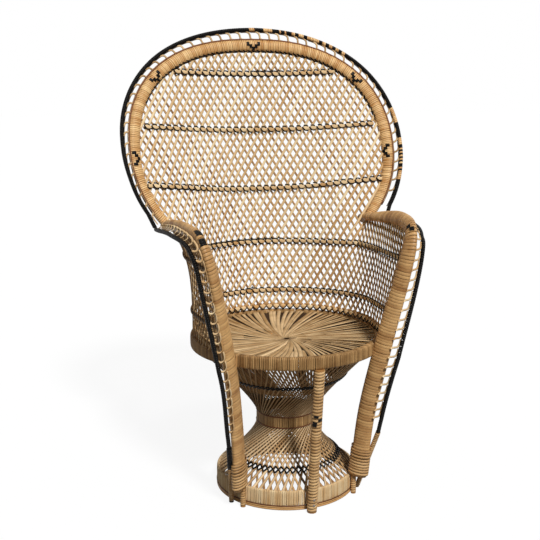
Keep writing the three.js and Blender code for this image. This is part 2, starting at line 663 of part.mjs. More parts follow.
// Woven back and sides: stakes rise from a hem on the seat band and flare out to the rolls.
const POST_BACK_ANGLE = 180 - POST_SEAT_ANGLE;
const hemBottom = SEAT_HEIGHT + CLEARANCE;

/** The lower and upper end of the stake at an angle from the back; the upper end is inside a roll. */
function stakeAt(degrees) {
  const turn = Math.abs(degrees);
  const flare = THREE.MathUtils.smoothstep(turn, POST_BACK_ANGLE - HEM_FLARE_ANGLE, POST_BACK_ANGLE);
  const low = fromBack(THREE.MathUtils.lerp(SEAT_RADIUS - HEM_INSET, postSeatRadius, flare), turn, hemBottom);
  const armShare = THREE.MathUtils.mapLinear(turn, KINK_BACK_ANGLE, POST_BACK_ANGLE, KINK_SHARE, POST_TOP_SHARE);
  const high = turn <= KINK_BACK_ANGLE ? hoopPoint(turn / KINK_BACK_ANGLE) : armPointAt(armShare);
  return degrees < 0 ? [mirrored(low), mirrored(high)] : [low, high];
}

/** How late the stake at an angle flares out: later at the sides than behind, and not at the posts. */
function flareAt(degrees) {
  const turn = Math.abs(degrees);
  const behind = THREE.MathUtils.smoothstep(turn, 0, KINK_BACK_ANGLE);
  const front = THREE.MathUtils.smoothstep(turn, ARM_FLARE_END, POST_BACK_ANGLE);
  return THREE.MathUtils.lerp(THREE.MathUtils.lerp(BACK_FLARE, SIDE_FLARE, behind), 1, front);
}

/** A point of the woven surface, at a share of the stake's height. */
function wovenPoint(degrees, share) {
  const [low, high] = stakeAt(degrees);
  const point = low.clone().lerp(high, Math.max(share, 0) ** flareAt(degrees));
  point.z = THREE.MathUtils.lerp(low.z, high.z, share);
  return point;
}

/** The direction from the woven surface towards the sitter. */
function wovenNormal(degrees, share) {
  const step = 0.5;
  const along = wovenPoint(degrees + step, share).sub(wovenPoint(degrees - step, share));
  const rise = wovenPoint(degrees, share + step / 100).sub(wovenPoint(degrees, share - step / 100));
  return along.cross(rise).normalize();
}

/** A share of each stake's height at which the woven surface passes a height. */
function shareAtHeight(degrees, height) {
  const [low, high] = stakeAt(degrees);
  return (height - low.z) / (high.z - low.z);
}

const columnAngles = [];
for (let i = -LATTICE_ARM_COLUMNS; i < 0; i += 1) {
  columnAngles.push(THREE.MathUtils.mapLinear(i, -LATTICE_ARM_COLUMNS, 0, -POST_BACK_ANGLE, -KINK_BACK_ANGLE));
}
for (let i = -LATTICE_HOOP_COLUMNS; i <= LATTICE_HOOP_COLUMNS; i += 1) {
  columnAngles.push((i / LATTICE_HOOP_COLUMNS) * KINK_BACK_ANGLE);
}
for (let i = 1; i <= LATTICE_ARM_COLUMNS; i += 1) {
  columnAngles.push(THREE.MathUtils.mapLinear(i, 0, LATTICE_ARM_COLUMNS, KINK_BACK_ANGLE, POST_BACK_ANGLE));
}

/** The woven surface as a grid of rows, moved towards the sitter by an offset. */
function wovenGrid(offset, shares) {
  return shares.map((share) => columnAngles.map((degrees) => (
    wovenPoint(degrees, share).addScaledVector(wovenNormal(degrees, share), offset))));
}
const rowShares = Array.from({ length: LATTICE_ROWS + 1 }, (_, i) => i / LATTICE_ROWS);
/** The woven panel, grown by an amount to the front and the back. */
function wovenPanel(grown) {
  const half = LATTICE_THICKNESS / 2 + grown;
  return slab(wovenGrid(half, rowShares), wovenGrid(-half, rowShares));
}
const latticeSpace = wovenPanel(CLEARANCE);

/** A strip on the sitter's side of the woven surface, between two heights given for each angle. */
function strip(angles, bottomAt, height) {
  const near = LATTICE_THICKNESS / 2 + STRIP_CLEARANCE;
  const grid = (offset) => [0, height].map((rise) => angles.map((degrees) => {
    const share = Math.min(shareAtHeight(degrees, bottomAt(degrees) + rise), 1);
    return wovenPoint(degrees, share).addScaledVector(wovenNormal(degrees, share), offset);
  }));
  return slab(grid(near), grid(near + BAND_THICKNESS));
}

const hem = strip(columnAngles, () => hemBottom, HEM_HEIGHT);
add('hem_band', cutBy(hem, [...armSpaces, seatBandSpace, latticeSpace]), BLACK_CANE);

/** The angle at which the hoop's centre line passes a height. */
function hoopAngleAtHeight(height) {
  let low = 0;
  let high = KINK_BACK_ANGLE;
  for (let i = 0; i < 30; i += 1) {
    const middle = (low + high) / 2;
    if (hoopPoint(middle / KINK_BACK_ANGLE).z > height) low = middle;
    else high = middle;
  }
  return low;
}

/** The height at a share of the way from the seat to the hoop's top. */
function backHeight(share) {
  return THREE.MathUtils.lerp(SEAT_HEIGHT, HOOP_TOP, share);
}
const bands = BANDS.map(({ name, middle, ends }) => {
  const endHeight = backHeight(ends);
  const reach = endHeight > KINK_HEIGHT ? hoopAngleAtHeight(endHeight + BAND_HEIGHT) : POST_BACK_ANGLE;
  const heightAt = (degrees) => (
    THREE.MathUtils.lerp(backHeight(middle), endHeight, Math.min(Math.abs(degrees) / reach, 1) ** 2));
  return { name, reach, heightAt };
});

bands.forEach(({ name, reach, heightAt }) => {
  const inner = columnAngles.filter((degrees) => Math.abs(degrees) < reach - 0.5);
  const angles = [-reach, ...inner, reach];
  const bottomAt = (degrees) => heightAt(degrees) - BAND_HEIGHT / 2;
  add(name, cutBy(strip(angles, bottomAt, BAND_HEIGHT), [...rollSpaces, latticeSpace]), REED);
});

// Openings of the weave, column by column from the middle of the back and row by row between the bands.
const ROUND_SAMPLES = 90;
const ROLL_SAMPLES = 40;
const rollPlaces = Array.from({ length: ROLL_SAMPLES + 1 }, (_, i) => {
  const share = THREE.MathUtils.lerp(armPoints.indexOf(postSeat) / armSegments, KINK_SHARE, i / ROLL_SAMPLES);
  return [
    { place: hoopPoint(i / ROLL_SAMPLES), half: HOOP_ROLL_WIDTH / 2 },
    { place: armPointAt(share), half: armWidthAt(share) / 2 },
  ];
}).flat();

/** A point of the woven surface at a height, or a little above its upper edge. */
function wovenAtHeight(degrees, height) {
  return wovenPoint(degrees, Math.min(shareAtHeight(degrees, height), 1.05));
}

/** The angle that lies a distance round from the middle of the back, at a height. */
function turnAtRound(round, height) {
  const step = POST_BACK_ANGLE / ROUND_SAMPLES;
  let before = wovenAtHeight(0, height);
  let run = 0;
  for (let i = 1; i <= ROUND_SAMPLES; i += 1) {
    const after = wovenAtHeight(i * step, height);
    const length = before.distanceTo(after);
    if (run + length >= round) return (i - 1 + (round - run) / length) * step;
    run += length;
    before = after;
  }
  return POST_BACK_ANGLE;
}

/** The distance round from the middle of the back to the post, at a height. */
function roundLength(height) {
  let run = 0;
  for (let i = 0; i < ROUND_SAMPLES; i += 1) {
    const [here, next] = [i, i + 1].map((k) => wovenAtHeight((k * POST_BACK_ANGLE) / ROUND_SAMPLES, height));
    run += here.distanceTo(next);
  }
  return run;
}

/** Whether the weave may be open at a place: inside the rolls, with a margin to them. */
function isOpenAt(round, height) {
  const degrees = turnAtRound(round, height);
  const share = shareAtHeight(degrees, height);
  if (share > 1 || degrees >= POST_BACK_ANGLE) return false;
  const point = wovenPoint(degrees, share);
  return rollPlaces.every(({ place, half }) => place.distanceTo(point) > half + WEAVE_MARGIN);
}

/** The last value between two at which a test holds, where it holds at the first. */
function lastWhere(first, last, test) {
  if (test(last)) return last;
  let [low, high] = [first, last];
  for (let i = 0; i < 12; i += 1) {
    const middle = (low + high) / 2;
    if (test(middle)) low = middle;
    else high = middle;
  }
  return low;
}

/** A block through the weave between four corners, each given as [distance round, height]. */
function openingBlock(corners, sign) {
  const reach = LATTICE_THICKNESS + BAND_THICKNESS;
  const [front, back] = [reach, -reach].map((offset) => {
    const [a, b, c, d] = corners.map(([round, height]) => {
      const degrees = sign * turnAtRound(round, height);
      const share = shareAtHeight(degrees, height);
      return wovenPoint(degrees, share).addScaledVector(wovenNormal(degrees, share), offset);
    });
    return [[a, b], [d, c]];
  });
  return slab(front, back);
}

const barEdge = (BAND_HEIGHT + WEAVE_BAR / 3) / 2;
const bayEdges = [
  () => hemBottom + HEM_HEIGHT + WEAVE_BAR / 3 - barEdge,
  ...bands.map(({ heightAt }) => heightAt),
  () => HOOP_TOP,
];
const columnWidth = roundLength(bands[1].heightAt(0)) / (WEAVE_COLUMNS / 2);
const openings = [];
for (let column = 0; column < WEAVE_COLUMNS / 2; column += 1) {
  const inner = column * columnWidth + WEAVE_BAR / 2;
  const outer = (column + 1) * columnWidth - WEAVE_BAR / 2;
  for (let bay = 0; bay + 1 < bayEdges.length; bay += 1) {
    const rows = bayEdges[bay + 1](0) - bayEdges[bay](0) > 3 * WEAVE_BAR + BAND_HEIGHT ? WEAVE_BAY_ROWS : 1;
    for (let row = 0; row < rows; row += 1) {
      const edgeAt = (round, share, inset) => {
        const degrees = turnAtRound(round, bayEdges[bay](0));
        const low = bayEdges[bay](degrees) + barEdge;
        const high = bayEdges[bay + 1](degrees) - barEdge;
        return THREE.MathUtils.lerp(low, high, share) + inset;
      };
      const gap = WEAVE_BAR / 2;
      const lowAt = (round) => edgeAt(round, row / rows, row > 0 ? gap : 0);
      const highAt = (round) => edgeAt(round, (row + 1) / rows, row + 1 < rows ? -gap : 0);
      const isOpen = (round) => isOpenAt(round, lowAt(round) + WEAVE_LEAST / 4);
      const right = isOpen(inner) ? lastWhere(inner, outer, isOpen) : inner;
      const tops = [inner, right].map((round) => (
        lastWhere(lowAt(round) + WEAVE_LEAST / 4, highAt(round), (height) => isOpenAt(round, height))));
      const tall = tops[0] - lowAt(inner) > WEAVE_LEAST;
      if (right - inner > WEAVE_LEAST && tall) {
        const corners = [[inner, lowAt(inner)], [right, lowAt(right)], [right, tops[1]], [inner, tops[0]]];
        openings.push(openingBlock(corners, 1), openingBlock(corners, -1));
      }
    }
  }
}
add('back_lattice', cutBy(wovenPanel(0), [...rollSpaces, seatBandSpace, ...openings], LATTICE_FLATNESS), REED);

// The chair stands on the floor with the middle of its outline over the origin.
const outline = new THREE.Box3().setFromObject(group);
const middle = outline.getCenter(new THREE.Vector3());
group.position.set(-middle.x, -middle.y, -outline.min.z);

export default group;
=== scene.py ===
"""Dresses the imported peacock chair: strands of its wraps, weave, lacing and pedestal, and their finishes."""

import logging
import math
from dataclasses import dataclass, field
from enum import Enum

import bpy
import numpy as np
from mathutils import Matrix, Vector


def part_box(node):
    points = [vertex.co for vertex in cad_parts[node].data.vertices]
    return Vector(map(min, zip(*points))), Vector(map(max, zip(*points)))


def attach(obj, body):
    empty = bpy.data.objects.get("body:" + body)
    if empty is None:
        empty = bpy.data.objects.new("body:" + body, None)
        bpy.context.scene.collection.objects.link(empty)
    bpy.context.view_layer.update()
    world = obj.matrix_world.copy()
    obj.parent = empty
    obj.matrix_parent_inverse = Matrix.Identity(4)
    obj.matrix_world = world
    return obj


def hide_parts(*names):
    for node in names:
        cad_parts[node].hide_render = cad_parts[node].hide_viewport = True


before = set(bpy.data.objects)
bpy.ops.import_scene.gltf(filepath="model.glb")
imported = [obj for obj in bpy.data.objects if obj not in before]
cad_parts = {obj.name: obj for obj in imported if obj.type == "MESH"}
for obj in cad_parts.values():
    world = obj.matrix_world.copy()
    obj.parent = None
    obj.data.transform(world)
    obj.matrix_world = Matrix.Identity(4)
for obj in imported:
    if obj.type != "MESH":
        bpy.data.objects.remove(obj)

Array = np.ndarray
Span = tuple[float, float]
Point = tuple[float, float, float]
# Breadth and depth of a strand in millimetres.
Strip = tuple[float, float]
MM = 0.001
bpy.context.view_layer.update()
BASE_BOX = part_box("base_band")
AXIS_Y = (BASE_BOX[0].y + BASE_BOX[1].y) / 2
LOG = logging.getLogger("peacock_chair")
SEED = 7
UP = np.array([0.0, 0.0, 1.0])
LEVEL = np.array([1.0, 1.0, 0.0])
FULL_TURN = 2 * math.pi
# Mean shade of a strand, from 0, deep, to 1, pale.
MEAN_TONE = 0.55
# Steps in shares and degrees over which a direction is taken.
SHARE_STEP = 0.005
TURN_STEP = 0.5
# Points on the lines that strands follow, enough that no corner shows.
HOOP_POINTS = 1001
TRIM_POINTS = 901
BORDER_POINTS = 700
ARM_POINTS = 600
ARM_TRIM_POINTS = 500
BAND_POINTS = 400
RING_RAIL_POINTS = 361
RING_POINTS = 145
POLE_POINTS = 40


# Small helpers


def linear(hex_colour: str) -> tuple[float, float, float, float]:
    """Turns an sRGB hex colour into linear RGBA.

    Args:
        hex_colour: Six hex digits.

    Returns:
        The linear colour with an alpha of 1.
    """
    parts = [int(hex_colour[i:i + 2], 16) / 255 for i in (0, 2, 4)]
    red, green, blue = [c / 12.92 if c <= 0.04045 else ((c + 0.055) / 1.055) ** 2.4 for c in parts]
    return red, green, blue, 1.0


def add_node(tree: bpy.types.NodeTree, kind: str, inputs: dict | None = None,
             **settings: object) -> bpy.types.Node:
    """Adds a node with its settings, its constants and its links.

    Args:
        tree: Tree that gets the node.
        kind: Blender's name of the node type.
        inputs: A constant, or an output socket to link from, for each input name or number.
        settings: Properties of the node.

    Returns:
        The new node.
    """
    node = tree.nodes.new(kind)
    for key, value in settings.items():
        setattr(node, key, value)
    for key, value in (inputs or {}).items():
        if isinstance(value, bpy.types.NodeSocket):
            tree.links.new(value, node.inputs[key])
        else:
            node.inputs[key].default_value = value
    return node


def unit(vectors: Array) -> Array:
    """Scales rows of vectors to a length of one."""
    return vectors / np.maximum(np.linalg.norm(vectors, axis=-1, keepdims=True), 1e-9)


def outward(points: Array) -> Array:
    """Level directions from the chair's axis to points."""
    return unit(points * LEVEL)


def squared(directions: Array, tangents: Array) -> Array:
    """Makes directions square to a line's tangents."""
    return unit(directions - tangents * np.sum(directions * tangents, 1, keepdims=True))


def mirrored(vectors: Array) -> Array:
    """The same rows on the chair's other side."""
    return vectors * np.array([-1.0, 1.0, 1.0])


def smoothstep(value: Array, low: float, high: float) -> Array:
    """Rises smoothly from 0 at low to 1 at high."""
    share = np.clip((value - low) / (high - low), 0, 1)
    return share * share * (3 - 2 * share)


def around_axis(radius: Array, degrees: Array, height: Array) -> Array:
    """Points at a radius, an angle from the chair's front towards +X, and a height."""
    angle = np.radians(degrees)
    return np.stack(np.broadcast_arrays(radius * np.sin(angle), -radius * np.cos(angle), height), -1)


def line_lengths(points: Array) -> Array:
    """Length along a line at each of its points."""
    steps = np.linalg.norm(np.diff(points, axis=0), axis=1)
    return np.concatenate([[0.0], np.cumsum(steps)])


def along_line(lengths: Array, values: Array, run: Array) -> Array:
    """Numbers or vectors at lengths along a line, from those at its points."""
    if values.ndim == 1:
        return np.interp(run, lengths, values)
    return np.stack([np.interp(run, lengths, values[:, k]) for k in range(3)], -1)


def tones(rng: np.random.Generator, spread: float, count: int | None = None,
          mean: float = MEAN_TONE) -> Array:
    """Draws random shades, from 0, deep, to 1, pale."""
    return np.clip(rng.normal(mean, spread, count), 0, 1)


def catmull(points: Array, share: Array) -> Array:
    """Points of a centripetal Catmull-Rom line through some points.

    Args:
        points: The points it passes.
        share: Places along it, from 0 to 1.

    Returns:
        One row for each share.
    """
    last = len(points) - 1
    place = np.clip(share, 0, 1) * last
    index = np.minimum(place.astype(int), last - 1)
    weight = (place - index)[:, None]
    padded = np.vstack([2 * points[0] - points[1], points, 2 * points[-1] - points[-2]])
    p0, p1, p2, p3 = (padded[index + k] for k in range(4))
    pairs = ((p0, p1), (p1, p2), (p2, p3))
    gap0, gap1, gap2 = (np.sum((b - a) ** 2, 1, keepdims=True) ** 0.25 for a, b in pairs)
    gap1 = np.where(gap1 < 1e-4, 1.0, gap1)
    gap0 = np.where(gap0 < 1e-4, gap1, gap0)
    gap2 = np.where(gap2 < 1e-4, gap1, gap2)
    leave = ((p1 - p0) / gap0 - (p2 - p0) / (gap0 + gap1) + (p2 - p1) / gap1) * gap1
    arrive = ((p2 - p1) / gap1 - (p3 - p1) / (gap1 + gap2) + (p3 - p2) / gap2) * gap1
    cubic = 2 * p1 - 2 * p2 + leave + arrive
    square = -3 * p1 + 3 * p2 - 2 * leave - arrive
    return ((cubic * weight + square) * weight + leave) * weight + p1


# Finishes


class Slot(Enum):
    """Material slots of the record."""

    RATTAN = "wrapped_rattan"
    REED = "woven_reed"
    BLACK = "black_cane"
    STEEL = "nail_steel"


class Finish:
    """Base of the finishes: builds its material at the first call and gives the same one after that."""

    name: str
    slot: Slot

    def material(self) -> bpy.types.Material:
        """Gives the finish's material.

        Returns:
            The material.
        """
        material = bpy.data.materials.get(self.name)
        if material is None:
            material = bpy.data.materials.new(self.name)
            material.use_nodes = True
            self.dress(material.node_tree, material.node_tree.nodes["Principled BSDF"])
        return material

    def dress(self, tree: bpy.types.NodeTree, shader: bpy.types.Node) -> None:
        """Adds the finish's nodes to a new material's tree."""
        raise NotImplementedError


@dataclass(frozen=True)
class CaneFinish(Finish):
    """Split cane or reed: each strand has its own tone, dark seams at its edges and fine fibres along it."""

    name: str
    slot: Slot
    pale: str
    deep: str
    seam: str
    roughness: float
    coat: float
    specular: float = 0.14
    seam_strength: float = 0.8
    seam_from: float = 0.66
    mottle_mm: float = 30.0
    mottle_share: float = 0.9
    fibre_mm: float = 1.6
    fibre_share: float = 0.5
    fibre_bump: float = 0.25
    fibre_depth_mm: float = 0.3
    # How far the roughness falls and rises along the fibres.
    smoother: float = 0.08
    rougher: float = 0.12
    coat_roughness: float = 0.25

    def dress(self, tree: bpy.types.NodeTree, shader: bpy.types.Node) -> None:
        """Mixes the colours by strand, patch and fibre, and darkens the strand's edges.

        Args:
            tree: The material's tree.
            shader: Its shader.
        """
        place = add_node(tree, "ShaderNodeTexCoord").outputs["Object"]
        tone = add_node(tree, "ShaderNodeAttribute", attribute_name="tone").outputs["Fac"]
        edge = add_node(tree, "ShaderNodeAttribute", attribute_name="edge").outputs["Fac"]
        mottle = add_node(tree, "ShaderNodeTexNoise", {
            "Vector": place, "Scale": 1 / (self.mottle_mm * MM), "Detail": 3.0}).outputs["Fac"]
        fibre = add_node(tree, "ShaderNodeTexNoise", {
            "Vector": place, "Scale": 1 / (self.fibre_mm * MM), "Detail": 2.0}).outputs["Fac"]
        shift, speck = (add_node(tree, "ShaderNodeMath", {
            0: noise, 1: share, 2: -share / 2}, operation="MULTIPLY_ADD").outputs[0]
            for noise, share in ((mottle, self.mottle_share), (fibre, self.fibre_share)))
        shifted = add_node(tree, "ShaderNodeMath", {0: tone, 1: shift}, operation="ADD").outputs[0]
        mixed = add_node(tree, "ShaderNodeMath", {
            0: shifted, 1: speck}, operation="ADD", use_clamp=True).outputs[0]
        colour = add_node(tree, "ShaderNodeMix", {
            "Factor": mixed, 6: linear(self.deep), 7: linear(self.pale)}, data_type="RGBA").outputs[2]
        groove = add_node(tree, "ShaderNodeMapRange", {
            "Value": edge, "From Min": self.seam_from, "From Max": 1.0, "To Min": 0.0,
            "To Max": self.seam_strength}).outputs["Result"]
        seamed = add_node(tree, "ShaderNodeMix", {
            "Factor": groove, 6: colour, 7: linear(self.seam)}, data_type="RGBA").outputs[2]
        rough = add_node(tree, "ShaderNodeMapRange", {
            "Value": fibre, "To Min": self.roughness - self.smoother,
            "To Max": self.roughness + self.rougher}).outputs["Result"]
        bump = add_node(tree, "ShaderNodeBump", {
            "Height": fibre, "Strength": self.fibre_bump,
            "Distance": self.fibre_depth_mm * MM}).outputs["Normal"]
        tree.links.new(seamed, shader.inputs["Base Color"])
        tree.links.new(rough, shader.inputs["Roughness"])
        tree.links.new(bump, shader.inputs["Normal"])
        shader.inputs["Coat Weight"].default_value = self.coat
        shader.inputs["Coat Roughness"].default_value = self.coat_roughness
        shader.inputs["Specular IOR Level"].default_value = self.specular


@dataclass(frozen=True)
class NailFinish(Finish):
    """Drawn steel nail heads: grey, worn and a little rusty."""

    name: str = "drawn steel nail"
    slot: Slot = Slot.STEEL
    bright: str = "8f8b84"
    rust: str = "6a5442"
    wear_scale: float = 600.0
    metallic: float = 0.9
    roughness: float = 0.45

    def dress(self, tree: bpy.types.NodeTree, shader: bpy.types.Node) -> None:
        """Mixes bright steel and rust in small spots.

        Args:
            tree: The material's tree.
            shader: Its shader.
        """
        place = add_node(tree, "ShaderNodeTexCoord").outputs["Object"]
        wear = add_node(tree, "ShaderNodeTexNoise", {
            "Vector": place, "Scale": self.wear_scale}).outputs["Fac"]
        colour = add_node(tree, "ShaderNodeMix", {
            "Factor": wear, 6: linear(self.bright), 7: linear(self.rust)}, data_type="RGBA").outputs[2]
        tree.links.new(colour, shader.inputs["Base Color"])
        shader.inputs["Metallic"].default_value = self.metallic
        shader.inputs["Roughness"].default_value = self.roughness


# Rattan peel, split and wound tight: golden, satin, with a clear skin that catches the light.
PEEL = CaneFinish("rattan peel", Slot.RATTAN, "f8d094", "c08545", "3a1f0b", 0.42, 0.12, 0.3,
                  seam_strength=0.9, seam_from=0.6)
# The same peel on the arms, a little browner and wound so tight that its seams are fine.
ARM_PEEL = CaneFinish("rattan peel, arms", Slot.RATTAN, "e4b87c", "9a6a3a", "2a1708", 0.44, 0.08, 0.24,
                      seam_strength=0.7, seam_from=0.72)
# Narrow peel on the bands of the seat and the waist, browner still; the extra brown is painted shade.
BAND_PEEL = CaneFinish("rattan peel, bands", Slot.RATTAN, "c89f6a", "735029", "1e1006", 0.46, 0.06,
                       seam_strength=0.9, seam_from=0.6)
# The same peel on the centre posts and the lashings, duller.
POST_PEEL = CaneFinish("rattan peel, worn", Slot.RATTAN, "e4bd87", "a07444", "2a1708", 0.48, 0.06,
                       seam_strength=0.8, seam_from=0.64)
# Flat reed without its skin: pale, dry and slightly fuzzy.
REED = CaneFinish("flat reed", Slot.REED, "f0d7ab", "c49862", "5c3d1e", 0.58, 0.0)
# Wider reed of the seat and the hoop's laces, with clear dark lines where one lies beside the next.
SEAT_REED = CaneFinish("flat reed, seat", Slot.REED, "e6c697", "98713f", "180c04", 0.56, 0.0,
                       seam_strength=0.95, seam_from=0.62)
# Coiled reed of the seat's lower layer, seen only through the gaps of the upper one, coloured dark as painted
# shade.
SHADE_UNDER_REED = CaneFinish("flat reed under the seat, painted shade", Slot.REED, "4d3620", "2a1b0e", "120a04", 0.7, 0.0, 0.2)
# Reed of the weave's rear slant, the cones' crossing stakes, the ropes behind the bands and the hem's row:
# browner than the front reed, partly its own tone and partly painted shade where it lies behind other strands.
BROWN_REED = CaneFinish("flat reed, brown", Slot.REED, "c9a06c", "885f36", "3c2510", 0.6, 0.0)
# Stakes of the pedestal: greyer reed whose flanks darken nearly to black as painted shade between the stakes.
STAKE_REED = CaneFinish("stake reed", Slot.REED, "e2c49a", "a37d52", "1a0f06", 0.62, 0.0,
                        seam_strength=0.95, seam_from=0.5)
# Cane dyed black, with its skin on: nearly black, with a low gloss.
BLACK = CaneFinish("black dyed cane", Slot.BLACK, "110e0b", "070504", "020202", 0.36, 0.0, 0.1)
# Thin red-brown cane that binds the edges of the bands.
BINDING = CaneFinish("binding cane, red-brown", Slot.RATTAN, "7d4d30", "4f2d1a", "26140a", 0.5, 0.05)
# Bare rattan pole, inside the wraps and under the base: smooth and brown.
POLE = CaneFinish("rattan pole", Slot.RATTAN, "d6a971", "a67743", "4a2f16", 0.5, 0.08, seam_strength=0.2)
NAIL = NailFinish()


# Lines of the chair


@dataclass(frozen=True)
class ChairLines:
    """Centre lines and woven surface, in millimetres about the pedestal's axis, in the solids' sizes."""

    seat_height: float = 436.0
    seat_radius: float = 260.0
    hoop_top: float = 1205.0
    hoop_half_width: float = 370.0
    hoop_widest: float = 910.0
    hoop_lower_radius: float = 315.0
    hoop_squareness: float = 2.4
    hoop_upper_share: float = 0.7
    kink_height: float = 715.0
    kink_depth: float = 157.0
    back_lean: float = 193.0
    back_lean_power: float = 1.5
    hoop_reach: float = 47.0
    hoop_side_reach: float = 39.0
    # Directions from the hoop to its trim rail, at even steps from the top to the right kink.
    hoop_ways: tuple[Point, ...] = (
        (0, 0.1, 1), (0.45, 0.15, 0.85), (0.9, -0.15, 0.42), (0.92, -0.38, 0), (0.66, -0.75, 0),
        (0.62, -0.78, 0.1))
    # Radius, angle and height of three points of the right side post.
    post_points: tuple[Point, ...] = ((215, 50, 56), (238.5, 48, 237.5), (282, 46, 419))
    # Points where the right arm bends and of its middle.
    arm_points: tuple[Point, ...] = ((256, -228, 687), (272, -200, 733), (290, -98, 745))
    # Share of the way from the arm's middle to the kink, the swell there, and the end behind the kink.
    arm_rear_share: float = 0.55
    arm_rear_swell: Point = (8, 0, 4)
    arm_end: Point = (-4, 18, -6)
    # At the arm's nine points: directions to its trim rail and of its broad side, its reaches and its widths.
    arm_ways: tuple[Point, ...] = ((0.7, -0.7, 0),) * 3 + (
        (0.985, -0.17, -0.05), (0.87, 0, -0.5), (0.92, 0, -0.38), (0.94, -0.1, -0.3),
        (0.85, -0.5, -0.12), (0.85, -0.5, -0.12))
    arm_broad_ways: tuple[Point, ...] = ((0.7, -0.7, 0),) * 3 + (
        (0.47, -0.88, 0), (0.37, -0.46, 0.8), (0.47, 0, 0.88), (0.7, -0.1, 0.55),
        (0.85, -0.5, -0.12), (0.85, -0.5, -0.12))
    arm_reaches: tuple[float, ...] = (34, 44, 48, 36, 35, 38, 38, 38, 38)
    arm_widths: tuple[float, ...] = (48, 48, 48, 42, 38, 38, 38, 38, 38)
    hem_radius: float = 251.0
    hem_lift: float = 0.3
    post_radius: float = 282.0
    post_turn: float = 134.0
    kink_turn: float = 66.0
    kink_share: float = 7 / 8
    post_top_share: float = 3 / 8
    # Angles from the back where the weave starts to leave the hem's ring and to stand straight.
    leave_turn: float = 94.0
    straight_turn: float = 105.0
    # How late the weave flares out behind the sitter, and how much later at the kink.
    back_flare: float = 1.8
    kink_flare: float = 1.8

    def hoop(self, share: Array) -> Array:
        """Centre line of the hoop: 0 at its top, 1 at the right kink and -1 at the left one."""
        share = np.asarray(share, float)
        reach = np.abs(share)
        angle = np.minimum(reach / self.hoop_upper_share, 1) * math.pi / 2
        power = 2 / self.hoop_squareness
        rise = np.maximum(np.cos(angle), 0) ** power
        upper_x = self.hoop_half_width * np.sin(angle) ** power
        upper_z = self.hoop_widest + (self.hoop_top - self.hoop_widest) * rise
        drop_end = math.asin((self.hoop_widest - self.kink_height) / self.hoop_lower_radius)
        drop = (reach - self.hoop_upper_share) / (1 - self.hoop_upper_share) * drop_end
        upper = reach <= self.hoop_upper_share
        x = np.where(upper, upper_x, self.hoop_half_width * np.cos(drop))
        z = np.where(upper, upper_z, self.hoop_widest - self.hoop_lower_radius * np.sin(drop))
        climb = np.maximum((z - self.kink_height) / (self.hoop_top - self.kink_height), 0)
        y = self.kink_depth + self.back_lean * climb ** self.back_lean_power
        return np.stack([np.sign(share) * x, y, z], -1)

    def hoop_flange(self, share: Array) -> Array:
        """Direction from the hoop's roll to its trim rail."""
        reach = np.abs(share)
        tangent = unit(self.hoop(np.minimum(reach + SHARE_STEP, 1)) - self.hoop(reach - SHARE_STEP))
        direction = squared(catmull(np.array(self.hoop_ways), reach), tangent)
        return np.where((np.asarray(share) < 0)[:, None], mirrored(direction), direction)

    def hoop_reaches(self, share: Array) -> Array:
        """Distances from the hoop's middle line to its trim rail, least halfway down the sides."""
        drawn = np.sin(math.pi * np.abs(share))
        return self.hoop_reach + (self.hoop_side_reach - self.hoop_reach) * drawn

    def hoop_trim(self, share: Array) -> Array:
        """Centre line of the hoop's trim rail."""
        return self.hoop(share) + self.hoop_flange(share) * self.hoop_reaches(share)[:, None]

    def hoop_turn(self, height: float) -> float:
        """Angle from the back at which the hoop's centre line passes a height."""
        turn = np.linspace(0, self.kink_turn, BAND_POINTS)
        return float(np.interp(-height, -self.hoop(turn / self.kink_turn)[:, 2], turn))

    def arm(self, share: Array) -> Array:
        """Centre line of the right arm, from the foot of its post to the hoop's kink."""
        kink = self.hoop(np.array([1.0]))[0]
        middle = np.array(self.arm_points[-1], float)
        rear = middle + (kink - middle) * self.arm_rear_share + np.array(self.arm_rear_swell)
        post = [around_axis(*point) for point in self.post_points]
        knots = np.vstack([*post, *self.arm_points, rear, kink, kink + self.arm_end])
        return catmull(knots, np.asarray(share, float))

    def across_arm(self, ways: tuple[Point, ...], share: Array) -> Array:
        """Directions square to the arm, from those at its nine points."""
        share = np.asarray(share, float)
        after, before = np.minimum(share + SHARE_STEP, 1), np.maximum(share - SHARE_STEP, 0)
        return squared(catmull(np.array(ways), share), unit(self.arm(after) - self.arm(before)))

    def arm_flange(self, share: Array) -> Array:
        """Direction from the arm's roll to its trim rail."""
        return self.across_arm(self.arm_ways, share)

    def arm_long(self, share: Array) -> Array:
        """Direction of the arm roll's broad side."""
        return self.across_arm(self.arm_broad_ways, share)

    def along_arm(self, values: tuple[float, ...], share: Array) -> Array:
        """A size along the arm, from its values at the arm's nine points."""
        return np.interp(share, np.linspace(0, 1, len(values)), values)

    def arm_edge(self, share: Array, thick: float) -> Array:
        """Distance from the arm's centre line to its skin, towards the trim rail."""
        along = np.sum(self.arm_long(share) * self.arm_flange(share), 1)
        across = np.sqrt(np.maximum(1 - along ** 2, 0))
        return 1 / np.hypot(along * 2 / self.along_arm(self.arm_widths, share), across * 2 / thick)

    def arm_trim(self, share: Array) -> Array:
        """Centre line of the right arm's trim rail."""
        return self.arm(share) + self.arm_flange(share) * self.along_arm(self.arm_reaches, share)[:, None]

